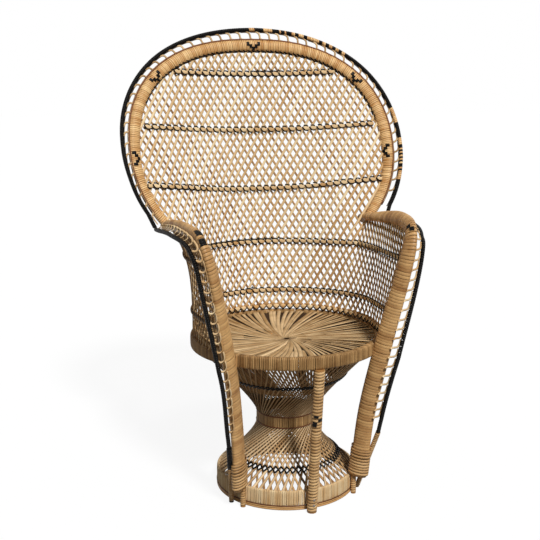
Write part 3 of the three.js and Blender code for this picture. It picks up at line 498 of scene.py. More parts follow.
    def stakes(self, turn: Array) -> tuple[Array, Array, Array]:
        """Lower end, upper end and flare of the woven surface at angles from the back.

        Args:
            turn: Angles in degrees, positive towards +X.

        Returns:
            Lower ends, upper ends, and how late each stake flares out.
        """
        reach = np.abs(turn)
        leave = smoothstep(reach, self.leave_turn, self.post_turn)
        radius = self.hem_radius + (self.post_radius - self.hem_radius) * leave
        low = around_axis(radius, 180 - reach, self.seat_height + self.hem_lift)
        share = np.interp(reach, [self.kink_turn, self.post_turn], [self.kink_share, self.post_top_share])
        back = self.hoop(np.minimum(reach / self.kink_turn, 1))
        high = np.where((reach <= self.kink_turn)[:, None], back, self.arm(share))
        flare = self.back_flare + self.kink_flare * smoothstep(reach, 0, self.kink_turn)
        flare = flare + (1 - flare) * smoothstep(reach, self.straight_turn, self.post_turn)
        left = (np.asarray(turn) < 0)[:, None]
        return np.where(left, mirrored(low), low), np.where(left, mirrored(high), high), flare

    def woven(self, turn: Array, share: Array) -> Array:
        """Points of the woven surface at shares of its height."""
        low, high, flare = self.stakes(turn)
        spread = np.maximum(share, 0) ** flare
        points = low + (high - low) * spread[:, None]
        points[:, 2] = low[:, 2] + (high[:, 2] - low[:, 2]) * share
        return points

    def woven_normal(self, turn: Array, share: Array) -> Array:
        """Directions from the woven surface to the sitter."""
        along = self.woven(turn + TURN_STEP, share) - self.woven(turn - TURN_STEP, share)
        rise = self.woven(turn, share + SHARE_STEP) - self.woven(turn, share - SHARE_STEP)
        return unit(np.cross(along, rise))

    def share_at(self, turn: Array, height: Array) -> Array:
        """Share of the woven surface's height at which it passes a height."""
        low, high, _ = self.stakes(turn)
        return (height - low[:, 2]) / (high[:, 2] - low[:, 2])


LINES = ChairLines()


@dataclass
class Rail:
    """A centre line with an oval or boxed section, to wind strands round or lay them along."""

    points: Array
    long: Array
    width: Array | float
    thick: Array | float
    square: float = 2.0
    run: Array = field(init=False)
    tangent: Array = field(init=False)
    short: Array = field(init=False)

    def __post_init__(self) -> None:
        """Works out lengths, tangents and square axes."""
        self.run = line_lengths(self.points)
        self.tangent = unit(np.gradient(self.points, self.run, axis=0))
        self.long = squared(self.long, self.tangent)
        self.short = np.cross(self.tangent, self.long)
        self.width = np.broadcast_to(np.asarray(self.width, float), self.run.shape)
        self.thick = np.broadcast_to(np.asarray(self.thick, float), self.run.shape)

    @property
    def length(self) -> float:
        """Length of the centre line."""
        return float(self.run[-1])

    def pick(self, values: Array, run: Array) -> Array:
        """Values at lengths along the line."""
        return along_line(self.run, values, run)

    def at(self, run: Array, out: Array = 0.0, side: Array = 0.0) -> Array:
        """Points at lengths along the line, moved along its long and short axes."""
        run = np.asarray(run, float)
        out, side = np.broadcast_to(out, run.shape), np.broadcast_to(side, run.shape)
        return (self.pick(self.points, run) + self.pick(self.long, run) * out[:, None]
                + self.pick(self.short, run) * side[:, None])

    def skin(self, run: Array, angle: Array, stand: float) -> tuple[Array, Array]:
        """Points and outward directions on the section's skin.

        Args:
            run: Lengths along the line.
            angle: Angles round the section in radians, 0 on the long axis.
            stand: Distance out from the skin.

        Returns:
            Points and unit directions.
        """
        half_w = self.pick(self.width, run) / 2
        half_t = self.pick(self.thick, run) / 2
        cos, sin = np.cos(angle), np.sin(angle)
        power = 2 / self.square
        along = np.sign(cos) * np.abs(cos) ** power * half_w
        across = np.sign(sin) * np.abs(sin) ** power * half_t
        lean_w = np.sign(cos) * np.abs(cos) ** (2 - power) / half_w
        lean_t = np.sign(sin) * np.abs(sin) ** (2 - power) / half_t
        long, short = self.pick(self.long, run), self.pick(self.short, run)
        normal = unit(long * lean_w[:, None] + short * lean_t[:, None])
        return self.at(run, along, across) + normal * stand, normal

    def flipped(self) -> "Rail":
        """The same rail on the chair's other side."""
        return Rail(mirrored(self.points), mirrored(self.long), self.width, self.thick, self.square)


def straight_rail(start: Array, end: Array, diameter: float, long: Point) -> Rail:
    """A straight round pole as a rail."""
    points = start + (end - start) * np.linspace(0, 1, POLE_POINTS)[:, None]
    return Rail(points, np.tile(np.array(long), (POLE_POINTS, 1)), diameter, diameter)


def ring_rail(radius: float, height: float, width: float, thick: float, square: float = 2.0) -> Rail:
    """A hoop about the chair's axis as a rail; its long axis points up."""
    turn = np.linspace(180, 540, RING_RAIL_POINTS)
    return Rail(around_axis(radius, turn, height), np.tile(UP, (RING_RAIL_POINTS, 1)), width, thick, square)


# Strands and knobs by Geometry Nodes


class Strands:
    """Lines that are swept together into strands of one size."""

    # How much the shades differ from strand to strand, and from turn to turn of a winding.
    tone_spread: float = 0.2
    turn_spread: float = 0.24
    patch_points: int = 4

    def __init__(self, seed: int = SEED) -> None:
        """Starts with no lines."""
        self.points: list[Array] = []
        self.facing: list[Array] = []
        self.tone: list[Array] = []
        self.swell: list[Array] = []
        self.rng = np.random.default_rng(seed)

    def add(self, points: Array, facing: Array, tone: Array | float | None = None,
            swell: Array | float = 1.0) -> None:
        """Adds one line.

        Args:
            points: Points in millimetres about the axis.
            facing: Direction that the strand's flat faces at each point.
            tone: Shade from 0, deep, to 1, pale; a random one if it isn't given.
            swell: Factor on the strand's size.
        """
        count = len(points)
        shade = tones(self.rng, self.tone_spread) if tone is None else tone
        self.points.append(np.asarray(points, float))
        self.facing.append(np.broadcast_to(facing, (count, 3)).astype(float))
        self.tone.append(np.broadcast_to(shade, (count,)).astype(float))
        self.swell.append(np.broadcast_to(swell, (count,)).astype(float))

    def wind(self, rail: Rail, pitch: float, stand: float, sides: int = 16,
             start: float = 0.0, end: float | None = None, wander: float = 0.1) -> None:
        """Winds one strand round a rail.

        Args:
            rail: Rail to wind it round.
            pitch: Distance between turns.
            stand: Distance of the strand's middle from the rail's skin.
            sides: Points in a turn.
            start: Length along the rail where it starts.
            end: Length where it ends; the rail's end if it isn't given.
            wander: How unevenly the turns lie, as a share of the pitch.
        """
        end = rail.length if end is None else end
        turns = max(int(round((end - start) / pitch)), 1)
        step = (end - start) / turns
        turn = np.arange(turns * sides + 1) / sides
        whole = np.arange(turns + 2)
        shake = self.rng.normal(0, wander * step, turns + 2)
        shake[[0, turns]] = 0.0
        run = np.clip(start + turn * step + np.interp(turn, whole, shake), 0, rail.length)
        points, normals = rail.skin(run, (turn + 0.5) * FULL_TURN, stand)
        shades = tones(self.rng, self.turn_spread, turns + 2)
        self.add(points, normals, np.interp(turn, whole, shades))

    def turn(self, rail: Rail, run: float, pitch: float, stand: float, sides: int = 10) -> None:
        """Lays a single turn of a winding round a rail."""
        share = np.linspace(0, 1, sides + 1)
        self.add(*rail.skin(run + share * pitch, share * FULL_TURN, stand))

    def ring(self, radius: float, height: float, swell: float = 1.0) -> None:
        """Lays a level ring about the chair's axis."""
        points = around_axis(radius, np.linspace(180, 540, RING_POINTS), height)
        self.add(points, outward(points), None, swell)

    def patch(self, rail: Rail, run: float, angle: float, span: float, stand: float) -> None:
        """Lays a short flat length round a rail, centred at an angle of its section."""
        half_w = float(rail.pick(rail.width, np.array([run]))[0]) / 2
        half_t = float(rail.pick(rail.thick, np.array([run]))[0]) / 2
        pace = math.hypot(half_w * math.sin(angle), half_t * math.cos(angle))
        angles = angle + np.linspace(-0.5, 0.5, self.patch_points) * span / pace
        self.add(*rail.skin(np.full(self.patch_points, run), angles, stand))


def hand_over(piece: bpy.types.Object, finish: Finish, *nodes: str) -> None:
    """Gives a finished piece to the frame and reports it.

    Args:
        piece: The piece.
        finish: Its finish, which names its slot; not used here.
        nodes: Solids that it stands for.
    """
    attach(piece, "root")
    if nodes:
        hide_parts(*nodes)
    LOG.info("%s: %d faces, for %s", piece.name, len(piece.data.polygons), ", ".join(nodes) or "no solid")


def keep_solid(node: str, finish: CaneFinish) -> None:
    """Keeps a solid of the frame and gives it a finish."""
    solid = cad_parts[node]
    solid.data.materials.clear()
    solid.data.materials.append(finish.material())
    LOG.info("%s: kept, %s", node, finish.name)


class NodePiece:
    """Base of the two Geometry Nodes trees: runs a tree on a carrier mesh and keeps the plain result."""

    def __init__(self, name: str, inputs: dict[str, str]) -> None:
        """Starts a tree with named inputs.

        Args:
            name: Name of the tree.
            inputs: Socket type of each input by its name.
        """
        self.tree = bpy.data.node_groups.new(name, "GeometryNodeTree")
        face = self.tree.interface
        face.new_socket("Geometry", in_out="INPUT", socket_type="NodeSocketGeometry")
        for label, kind in inputs.items():
            face.new_socket(label, in_out="INPUT", socket_type=kind)
        face.new_socket("Geometry", in_out="OUTPUT", socket_type="NodeSocketGeometry")
        self.source = add_node(self.tree, "NodeGroupInput").outputs
        self.keys = {item.name: item.identifier for item in face.items_tree if item.in_out == "INPUT"}

    def read(self, name: str, kind: str) -> bpy.types.NodeSocket:
        """Output of a node that reads a named attribute."""
        node = add_node(self.tree, "GeometryNodeInputNamedAttribute", {"Name": name}, data_type=kind)
        return node.outputs[0]

    def close(self, geometry: bpy.types.NodeSocket) -> None:
        """Ends the tree in Realize Instances and Set Material."""
        real = add_node(self.tree, "GeometryNodeRealizeInstances", {"Geometry": geometry}).outputs[0]
        dressed = add_node(self.tree, "GeometryNodeSetMaterial", {
            "Geometry": real, "Material": self.source["Material"]}).outputs[0]
        add_node(self.tree, "NodeGroupOutput", {0: dressed})

    def run(self, name: str, carrier: bpy.types.Mesh, values: dict[str, object]) -> bpy.types.Object:
        """Makes an object by running the tree on a carrier mesh.

        Args:
            name: Name of the object.
            carrier: Mesh of points or lines with the attributes that the tree reads.
            values: Value of each named input.

        Returns:
            The object with its plain mesh, at the origin.
        """
        piece = bpy.data.objects.new(name, carrier)
        bpy.context.scene.collection.objects.link(piece)
        modifier = piece.modifiers.new(self.tree.name, "NODES")
        modifier.node_group = self.tree
        for label, value in values.items():
            modifier[self.keys[label]] = value
        graph = bpy.context.evaluated_depsgraph_get()
        mesh = bpy.data.meshes.new_from_object(piece.evaluated_get(graph))
        piece.modifiers.clear()
        piece.data = mesh
        mesh.name = name
        bpy.data.meshes.remove(carrier)
        for spare in ("facing", "swell", "along"):
            if spare in mesh.attributes:
                mesh.attributes.remove(mesh.attributes[spare])
        return piece

    @staticmethod
    def carrier(points: Array, edges: Array, attributes: dict[str, Array]) -> bpy.types.Mesh:
        """Mesh of points and edges, moved to the frame, with its attributes.

        Args:
            points: Points in millimetres about the axis.
            edges: Pairs of point numbers, or none.
            attributes: Numbers or vectors for each point.

        Returns:
            The mesh.
        """
        mesh = bpy.data.meshes.new("carrier")
        mesh.vertices.add(len(points))
        mesh.vertices.foreach_set("co", (points * MM + np.array([0, AXIS_Y, 0])).ravel())
        mesh.edges.add(len(edges))
        if len(edges):
            mesh.edges.foreach_set("vertices", np.asarray(edges).ravel())
        for name, values in attributes.items():
            flat = values.ndim == 1
            made = mesh.attributes.new(name, "FLOAT" if flat else "FLOAT_VECTOR", "POINT")
            made.data.foreach_set("value" if flat else "vector", values.ravel())
        return mesh


class StrandTree(NodePiece):
    """Sweeps a flat strand with a crowned section along every line of a mesh."""

    def __init__(self) -> None:
        """Builds the tree."""
        super().__init__("sweep strands", {
            "Breadth": "NodeSocketFloat", "Depth": "NodeSocketFloat", "Sides": "NodeSocketInt",
            "Material": "NodeSocketMaterial"})
        tree, source = self.tree, self.source
        curve = add_node(tree, "GeometryNodeMeshToCurve", {"Mesh": source["Geometry"]}).outputs[0]
        faced = add_node(tree, "GeometryNodeSetCurveNormal", mode="FREE")
        tree.links.new(curve, faced.inputs["Curve"])
        tree.links.new(self.read("facing", "FLOAT_VECTOR"), faced.inputs["Normal"])
        circle = add_node(tree, "GeometryNodeCurvePrimitiveCircle", {
            "Resolution": source["Sides"], "Radius": 0.5}).outputs[0]
        place = add_node(tree, "GeometryNodeInputPosition").outputs[0]
        across = add_node(tree, "ShaderNodeSeparateXYZ", {0: place}).outputs["Y"]
        size = add_node(tree, "ShaderNodeMath", {0: across, 1: 2.0}, operation="MULTIPLY").outputs[0]
        edge = add_node(tree, "ShaderNodeMath", {0: size}, operation="ABSOLUTE").outputs[0]
        marked = add_node(tree, "GeometryNodeStoreNamedAttribute", {
            "Geometry": circle, "Name": "edge", "Value": edge}, data_type="FLOAT", domain="POINT").outputs[0]
        scale = add_node(tree, "ShaderNodeCombineXYZ", {
            "X": source["Depth"], "Y": source["Breadth"], "Z": 1.0}).outputs[0]
        section = add_node(tree, "GeometryNodeTransform", {"Geometry": marked, "Scale": scale}).outputs[0]
        swept = add_node(tree, "GeometryNodeCurveToMesh", {
            "Curve": faced.outputs[0], "Profile Curve": section, "Scale": self.read("swell", "FLOAT"),
            "Fill Caps": True}).outputs[0]
        smooth = add_node(tree, "GeometryNodeSetShadeSmooth", {"Geometry": swept, "Shade Smooth": True})
        self.close(smooth.outputs[0])

    def lay(self, name: str, strands: Strands, strip: Strip, finish: CaneFinish, *nodes: str,
            sides: int = 6) -> None:
        """Sweeps a set of lines into one piece and hands it over.

        Args:
            name: Name of the piece.
            strands: The lines.
            strip: Breadth and depth of the strand.
            finish: Finish of the strand.
            nodes: Solids that the piece stands for.
            sides: Corners of the strand's section.
        """
        counts = [len(points) for points in strands.points]
        first = np.concatenate([[0], np.cumsum(counts)[:-1]])
        heads = np.concatenate([np.arange(start, start + count - 1) for start, count in zip(first, counts)])
        mesh = self.carrier(np.vstack(strands.points), np.stack([heads, heads + 1], -1), {
            "facing": np.vstack(strands.facing), "tone": np.concatenate(strands.tone),
            "swell": np.concatenate(strands.swell)})
        piece = self.run(name, mesh, {
            "Breadth": strip[0] * MM, "Depth": strip[1] * MM, "Sides": sides, "Material": finish.material()})
        hand_over(piece, finish, *nodes)


class KnobTree(NodePiece):
    """Sets rounded knobs on points, each turned to its surface."""

    segments: int = 10
    rings: int = 6
    tone_spread: float = 0.22
    # Least and greatest factor on a knob's size.
    uneven: Span = (0.9, 1.1)

    def __init__(self) -> None:
        """Builds the tree."""
        super().__init__("set knobs", {
            "Half Size": "NodeSocketVector", "Segments": "NodeSocketInt", "Rings": "NodeSocketInt",
            "Seed": "NodeSocketInt", "Material": "NodeSocketMaterial"})
        tree, source = self.tree, self.source
        ball = add_node(tree, "GeometryNodeMeshUVSphere", {
            "Segments": source["Segments"], "Rings": source["Rings"], "Radius": 1.0}).outputs[0]
        knob = add_node(tree, "GeometryNodeTransform", {
            "Geometry": ball, "Scale": source["Half Size"]}).outputs[0]
        smooth = add_node(tree, "GeometryNodeSetShadeSmooth", {
            "Geometry": knob, "Shade Smooth": True}).outputs[0]
        facing, along = (self.read(name, "FLOAT_VECTOR") for name in ("facing", "along"))
        turned = add_node(tree, "FunctionNodeAxesToRotation", {
            "Primary Axis": facing, "Secondary Axis": along}, primary_axis="Z", secondary_axis="X").outputs[0]
        least, most = self.uneven
        factor = add_node(tree, "FunctionNodeRandomValue", {
            2: least, 3: most, "Seed": source["Seed"]}, data_type="FLOAT").outputs[1]
        placed = add_node(tree, "GeometryNodeInstanceOnPoints", {
            "Points": source["Geometry"], "Instance": smooth, "Rotation": turned, "Scale": factor}).outputs[0]
        self.close(placed)

    def set(self, name: str, points: Array, along: Array, facing: Array, half: Point, finish: Finish,
            *nodes: str) -> None:
        """Sets knobs on points as one piece and hands it over.

        Args:
            name: Name of the piece.
            points: Middles of the knobs.
            along: Direction of each knob's length.
            facing: Direction that each knob faces.
            half: Half its length, height and depth in millimetres.
            finish: Finish of the knobs.
            nodes: Solids that the piece stands for.
        """
        tone = tones(np.random.default_rng(SEED), self.tone_spread, len(points))
        mesh = self.carrier(points, np.zeros((0, 2), int), {"along": along, "facing": facing, "tone": tone})
        piece = self.run(name, mesh, {
            "Half Size": [size * MM for size in half], "Segments": self.segments, "Rings": self.rings,
            "Seed": SEED, "Material": finish.material()})
        hand_over(piece, finish, *nodes)


STRANDS = StrandTree()
KNOBS = KnobTree()


@dataclass
class Lacing:
    """A strand between a roll and its trim rail: along under the rail, in to the roll, and along the roll."""

    roll: Rail
    near: Array
    far: Array
    pitch: float
    front: float = 1.0
    forward: float = 1.0
    # Each row: distance along in pitches, share of the gap from roll to rail, and distance to the front.
    leg: tuple[Point, ...] = (
        (-0.95, 1.0, -0.4), (-0.6, 1.0, 0.2), (-0.34, 0.97, 0.8), (-0.15, 0.86, 1.3), (-0.04, 0.66, 1.6),
        (0.01, 0.44, 1.6), (0.04, 0.22, 1.5), (0.14, 0.06, 1.3), (0.35, 0.0, 0.8), (0.7, 0.0, 0.1),
        (1.0, 0.02, -0.9), (1.2, 0.0, -1.3))
    wander: float = 0.05

    def strands(self, start: float, end: float) -> Strands:
        """Lines of the lacing between two lengths along the roll.

        Args:
            start: Length where it starts.
            end: Length where it ends.

        Returns:
            One line for each pitch.
        """
        laces = Strands(SEED + 5)
        leg = np.array(self.leg)
        first = start if self.forward > 0 else end
        for i in range(int((end - start) / self.pitch)):
            place = i + leg[:, 0] + laces.rng.normal(0, self.wander)
            run = np.clip(first + self.forward * place * self.pitch, 0, self.roll.length)
            near, far = (np.interp(run, self.roll.run, values) for values in (self.near, self.far))
            knots = np.stack([run, near + (far - near) * leg[:, 1], leg[:, 2] * self.front], -1)
            line = catmull(knots, np.linspace(0, 1, 2 * len(knots) - 1))
            facing = self.roll.pick(self.roll.short, line[:, 0]) * self.front
            laces.add(self.roll.at(line[:, 0], line[:, 1], line[:, 2]), facing)
        return laces


# Sub-assemblies


@dataclass(frozen=True)
class ReedBand:
    """A band round the chair's axis, wound with upright turns of flat reed."""

    name: str
    radius: float
    wall: float
    low: float
    high: float
    pitch: float
    strip: Strip
    finish: CaneFinish
    stand: float = -0.7
    sides: int = 18
    squareness: float = 5.0

    def build(self) -> None:
        """Winds the band."""
        rail = ring_rail(self.radius - self.wall / 2, (self.low + self.high) / 2, self.high - self.low,
                         self.wall, self.squareness)
        strands = Strands()
        strands.wind(rail, self.pitch, self.stand, self.sides)
        STRANDS.lay(self.name + "_reeds", strands, self.strip, self.finish, self.name)


@dataclass(frozen=True)
class Cone:
    """A cone of straight stakes that twist from a lower ring to an upper one, with others crossing behind."""

    name: str
    # Radius and height of each ring.
    low: Span
    high: Span
    twist: float
    stakes: int
    # Factors on a stake's size at its lower and its upper end; the far end is spread flat.
    swell: Span
    # Shares of the height that the crossing family covers, and its number of stakes.
    crossing: Span
    crossers: int
    inset: float = 1.4
    crossing_inset: float = 4.0
    wander: float = 0.35
    strip: Strip = (5.0, 2.6)
    crossing_strip: Strip = (4.4, 2.6)
    stake_points: int = 10

    def stake(self, start: float, twist: float, inset: float, part: Span = (0.0, 1.0)) -> tuple[Array, Array]:
        """A straight stake between the two rings.

        Args:
            start: Angle of its lower end.
            twist: Angle that it turns on its way up.
            inset: Distance in from the cone's outside.
            part: Shares of its height that it covers.

        Returns:
            Points and facing directions.
        """
        share = np.linspace(*part, self.stake_points)[:, None]
        foot = around_axis(self.low[0] - inset, start, self.low[1])
        top = around_axis(self.high[0] - inset, start + twist, self.high[1])
        points = foot + (top - foot) * share
        return points, outward(points)

    def radius_at(self, height: Array) -> Array:
        """Radius of the cone's outside at a height."""
        share = (np.asarray(height, float) - self.low[1]) / (self.high[1] - self.low[1])
        near, far = (1 - share) * self.low[0], share * self.high[0]
        return np.sqrt(near ** 2 + far ** 2 + 2 * near * far * math.cos(math.radians(self.twist)))

    def build(self) -> None:
        """Sets the stakes and the crossing family."""
        strands = Strands()
        swell = np.linspace(*self.swell, self.stake_points)
        for i in range(self.stakes):
            start = 360 * i / self.stakes + strands.rng.normal(0, self.wander)
            strands.add(*self.stake(start, self.twist, self.inset), None, swell)
        back = Strands(SEED + 1)
        part = np.interp(np.linspace(*self.crossing, self.stake_points), [0, 1], self.swell)
        for i in range(self.crossers):
            start = 360 * (i + 0.5) / self.crossers
            back.add(*self.stake(start, -self.twist, self.crossing_inset, self.crossing), None, part)
        # The stakes' dark flanks are painted shade between them.
        STRANDS.lay(self.name + "_stakes", strands, self.strip, STAKE_REED, self.name)
        # Brown reed on the crossing family, partly painted shade of the layer behind the stakes.
        STRANDS.lay(self.name + "_stakes_crossing", back, self.crossing_strip, BROWN_REED)


@dataclass(frozen=True)
class CrossTwine:
    """Two black strands twined in crosses round the lower cone."""

    cone: Cone
    middle: float = 93.5
    half_height: float = 6.2
    crosses: int = 60
    stand: float = 2.3
    over_under: float = 1.1
    strip: Strip = (5.0, 2.2)
    line_points: int = 1441

    def build(self) -> None:
        """Twines the ring."""
        strands = Strands()
        turn = np.linspace(0, 360, self.line_points)
        for phase in (0.0, math.pi):
            angle = np.radians(turn) * self.crosses / 2 + phase
            wave = np.arcsin(np.sin(angle)) * 2 / math.pi
            height = self.middle + self.half_height * wave
            radius = self.cone.radius_at(height) + self.stand + self.over_under * np.cos(angle)
            points = around_axis(radius, turn, height)
            strands.add(points, outward(points))
        STRANDS.lay("lower_twine", strands, self.strip, BLACK, "lower_twine_ring")


@dataclass(frozen=True)
class DashTwine:
    """Rows of black dashes twined round the upper cone, one dash for each stake."""

    cone: Cone
    first_row: float = 320.8
    row_step: float = 3.7
    rows: int = 3
    half_turn: float = 1.75
    half_rise: float = 0.9
    stand: float = 0.8
    bulge: float = 2.2
    bulge_angle: float = 1.3
    strip: Strip = (3.6, 2.0)
    dash_points: int = 5

    def build(self) -> None:
        """Twines the rows."""
        strands = Strands()
        dash = np.linspace(-1, 1, self.dash_points)
        bulge = self.bulge * np.cos(dash * self.bulge_angle)
        for row in range(self.rows):
            height = self.first_row + self.row_step * row + dash * self.half_rise
            radius = self.cone.radius_at(height) + self.stand + bulge
            for i in range(self.cone.stakes):
                turn = 360 * (i + 0.5 * (row % 2)) / self.cone.stakes + dash * self.half_turn
                points = around_axis(radius, turn, height)
                strands.add(points, outward(points))
        STRANDS.lay("upper_twine", strands, self.strip, BLACK, "upper_twine_ring")


@dataclass
class Pedestal:
    """Hourglass pedestal: floor hoop, base and waist bands, two cones of twisted stakes, and twined rings."""

    base_radius: float = 193.0
    base_wall: float = 10.0
    base_top: float = 54.0
    base_gap: float = 0.3
    floor_hoop: float = 11.3
    # Radius, height and share of the thickness of the two poles under the base.
    floor_poles: tuple[Point, ...] = ((190.5, 3.4, 1.0), (191.6, 9.1, 0.7))
    floor_pole_strip: Strip = (6.6, 6.6)
    floor_pole_sides: int = 10
    waist_radius: float = 81.0
    waist_wall: float = 8.0
    waist_bottom: float = 184.0
    waist_top: float = 216.0
    # Radii of the cones' rings, the height of the seat's band, and how far stakes run into the bands.
    cone_foot_radius: float = 188.0
    cone_waist_radius: float = 80.7
    cone_top_radius: float = 241.0
    seat_band_bottom: float = 401.7
    tuck: float = 2.0
    lower_stakes: int = 58
    upper_stakes: int = 78
    binding_strip: Strip = (3.0, 2.0)
    # Distance out from the band and up or down from its edge, for the waist's bindings and the base's.
    waist_binding: Span = (0.6, 1.0)
    base_binding: Span = (0.4, 1.6)

    def cones(self) -> tuple[Cone, Cone]:
        """The lower and the upper cone."""
        waist = self.cone_waist_radius
        lower = Cone("lower_cone", (self.cone_foot_radius, self.base_top - self.tuck),
                     (waist, self.waist_bottom + self.tuck), twist=60.0, stakes=self.lower_stakes,
                     swell=(1.75, 0.88), crossing=(0.0, 1.0), crossers=self.lower_stakes)
        upper = Cone("upper_cone", (waist, self.waist_top - self.tuck),
                     (self.cone_top_radius, self.seat_band_bottom + self.tuck), twist=48.0,
                     stakes=self.upper_stakes, swell=(0.86, 1.4), crossing=(0.42, 1.0),
                     crossers=2 * self.upper_stakes)
        return lower, upper

    def bindings(self) -> None:
        """Lays the poles under the base and the thin canes at the bands' edges."""
        poles = Strands()
        for radius, height, share in self.floor_poles:
            poles.ring(radius, height, share)
        STRANDS.lay("floor_hoop_poles", poles, self.floor_pole_strip, POLE, "base_floor_hoop",
                    sides=self.floor_pole_sides)
        edges = Strands()
        out, shift = self.waist_binding
        edges.ring(self.waist_radius + out, self.waist_top - shift)
        edges.ring(self.waist_radius + out, self.waist_bottom + shift)
        out, shift = self.base_binding
        edges.ring(self.base_radius + out, self.floor_hoop + shift)
        STRANDS.lay("band_bindings", edges, self.binding_strip, BINDING)

    def build(self) -> None:
        """Builds and dresses the pedestal."""
        self.bindings()
        ReedBand("base_band", self.base_radius, self.base_wall, self.floor_hoop + self.base_gap,
                 self.base_top, pitch=4.6, strip=(5.152, 1.8), finish=REED).build()
        # The waist band's browner peel is painted shade.
        ReedBand("waist_band", self.waist_radius, self.waist_wall, self.waist_bottom, self.waist_top,
                 pitch=4.7, strip=(5.264, 1.8), finish=BAND_PEEL).build()
        lower, upper = self.cones()
        for piece in (lower, upper, CrossTwine(lower), DashTwine(upper)):
            piece.build()


@dataclass
class Seat:
    """Round seat: wound band, pinwheel of flat reeds, and the two poles under it."""

    band_wall: float = 18.0
    band_height: float = 34.0
    deck_radius: float = 242.0
    deck_top: float = 432.0
    rim_gap: float = 1.0
    reeds: int = 105
    reed_points: int = 14
    eye: Span = (-12.0, -50.0)
    eye_radius: float = 13.0
    reed_strip: Strip = (13.8, 1.4)
    reed_tilt: float = 5.0
    reed_bow: float = 7.0
    sag: float = 3.6
    # How unevenly the reeds lie: their angle in radians, where they start, and their bow.
    turn_wander: float = 0.014
    start_wander: float = 6.0
    bow_wander: float = 1.2
    # Distance from the eye at which each third of the reeds starts, and its depth under the deck's top.
    layers: tuple[Span, ...] = ((-24.0, 1.0), (120.0, 2.3), (62.0, 1.7))
    # Headings between which the reeds lie apart, with the factor on their breadth.
    sparse: tuple[Point, ...] = ((-88.0, -32.0, 0.62), (132.0, 162.0, 0.66), (92.0, 122.0, 0.8))
    coil_pitch: float = 8.4
    coil_drop: float = 4.4
    coil_gap: float = 3.0
    coil_strip: Strip = (9.24, 1.2)
    coil_points: int = 73

    def under_layer(self) -> None:
        """Coils the seat's lower layer in rings under the pinwheel, in dark reed that is painted shade in the
        gaps.
        """
        coils = Strands(SEED + 9)
        for radius in np.arange(self.coil_pitch / 2, self.deck_radius - self.coil_gap, self.coil_pitch):
            height = self.deck_top - (self.coil_drop + self.sag * (1 - (radius / self.deck_radius) ** 2))
            coils.add(around_axis(radius, np.linspace(0, 360, self.coil_points), height), UP)
        STRANDS.lay("seat_deck_coils", coils, self.coil_strip, SHADE_UNDER_REED)

    def deck(self) -> None:
        """Lays flat reeds clockwise round a small eye, the long ones over the short ones."""
        strands = Strands()
        tilt = math.radians(self.reed_tilt)
        middle = np.array([*self.eye, 0.0])
        rim = self.deck_radius - self.rim_gap
        for i in range(self.reeds):
            turn = FULL_TURN * i / self.reeds + strands.rng.normal(0, self.turn_wander)
            start, depth = self.layers[i % len(self.layers)]
            out = np.array([math.cos(turn), math.sin(turn), 0.0])
            aside = np.array([math.sin(turn), -math.cos(turn), 0.0])
            base = middle + out * self.eye_radius
            along = float(base @ aside)
            end = -along + math.sqrt(along ** 2 - float(base @ base) + rim ** 2)
            reach = np.linspace(start + strands.rng.normal(0, self.start_wander), end, self.reed_points)
            share = np.clip(reach / end, 0, 1)
            bow = self.reed_bow * 4 * share * (1 - share) + strands.rng.normal(0, self.bow_wander) * share
            points = base + aside * reach[:, None] + out * bow[:, None]
            flat = np.linalg.norm(points[:, :2], axis=1) / self.deck_radius
            points[:, 2] = self.deck_top - depth - self.sag * np.clip(1 - flat ** 2, 0, 1)
            facing = out * math.sin(tilt) + UP * math.cos(tilt)
            heading = math.degrees(math.atan2(aside[1], aside[0]))
            breadth = min([factor for low, high, factor in self.sparse if low < heading < high], default=1.0)
            strands.add(points, facing, None, breadth)
        STRANDS.lay("seat_deck_reeds", strands, self.reed_strip, SEAT_REED, "seat_deck")

    def build(self) -> None:
        """Builds and dresses the seat."""
        # The seat band's browner peel is painted shade.
        ReedBand("seat_band", LINES.seat_radius, self.band_wall, LINES.seat_height - self.band_height,
                 LINES.seat_height, pitch=4.5, strip=(4.9, 2.2), finish=BAND_PEEL, stand=-0.8).build()
        self.under_layer()
        self.deck()
        for node in ("seat_pole_across", "seat_pole_fore_aft"):
            keep_solid(node, POLE)


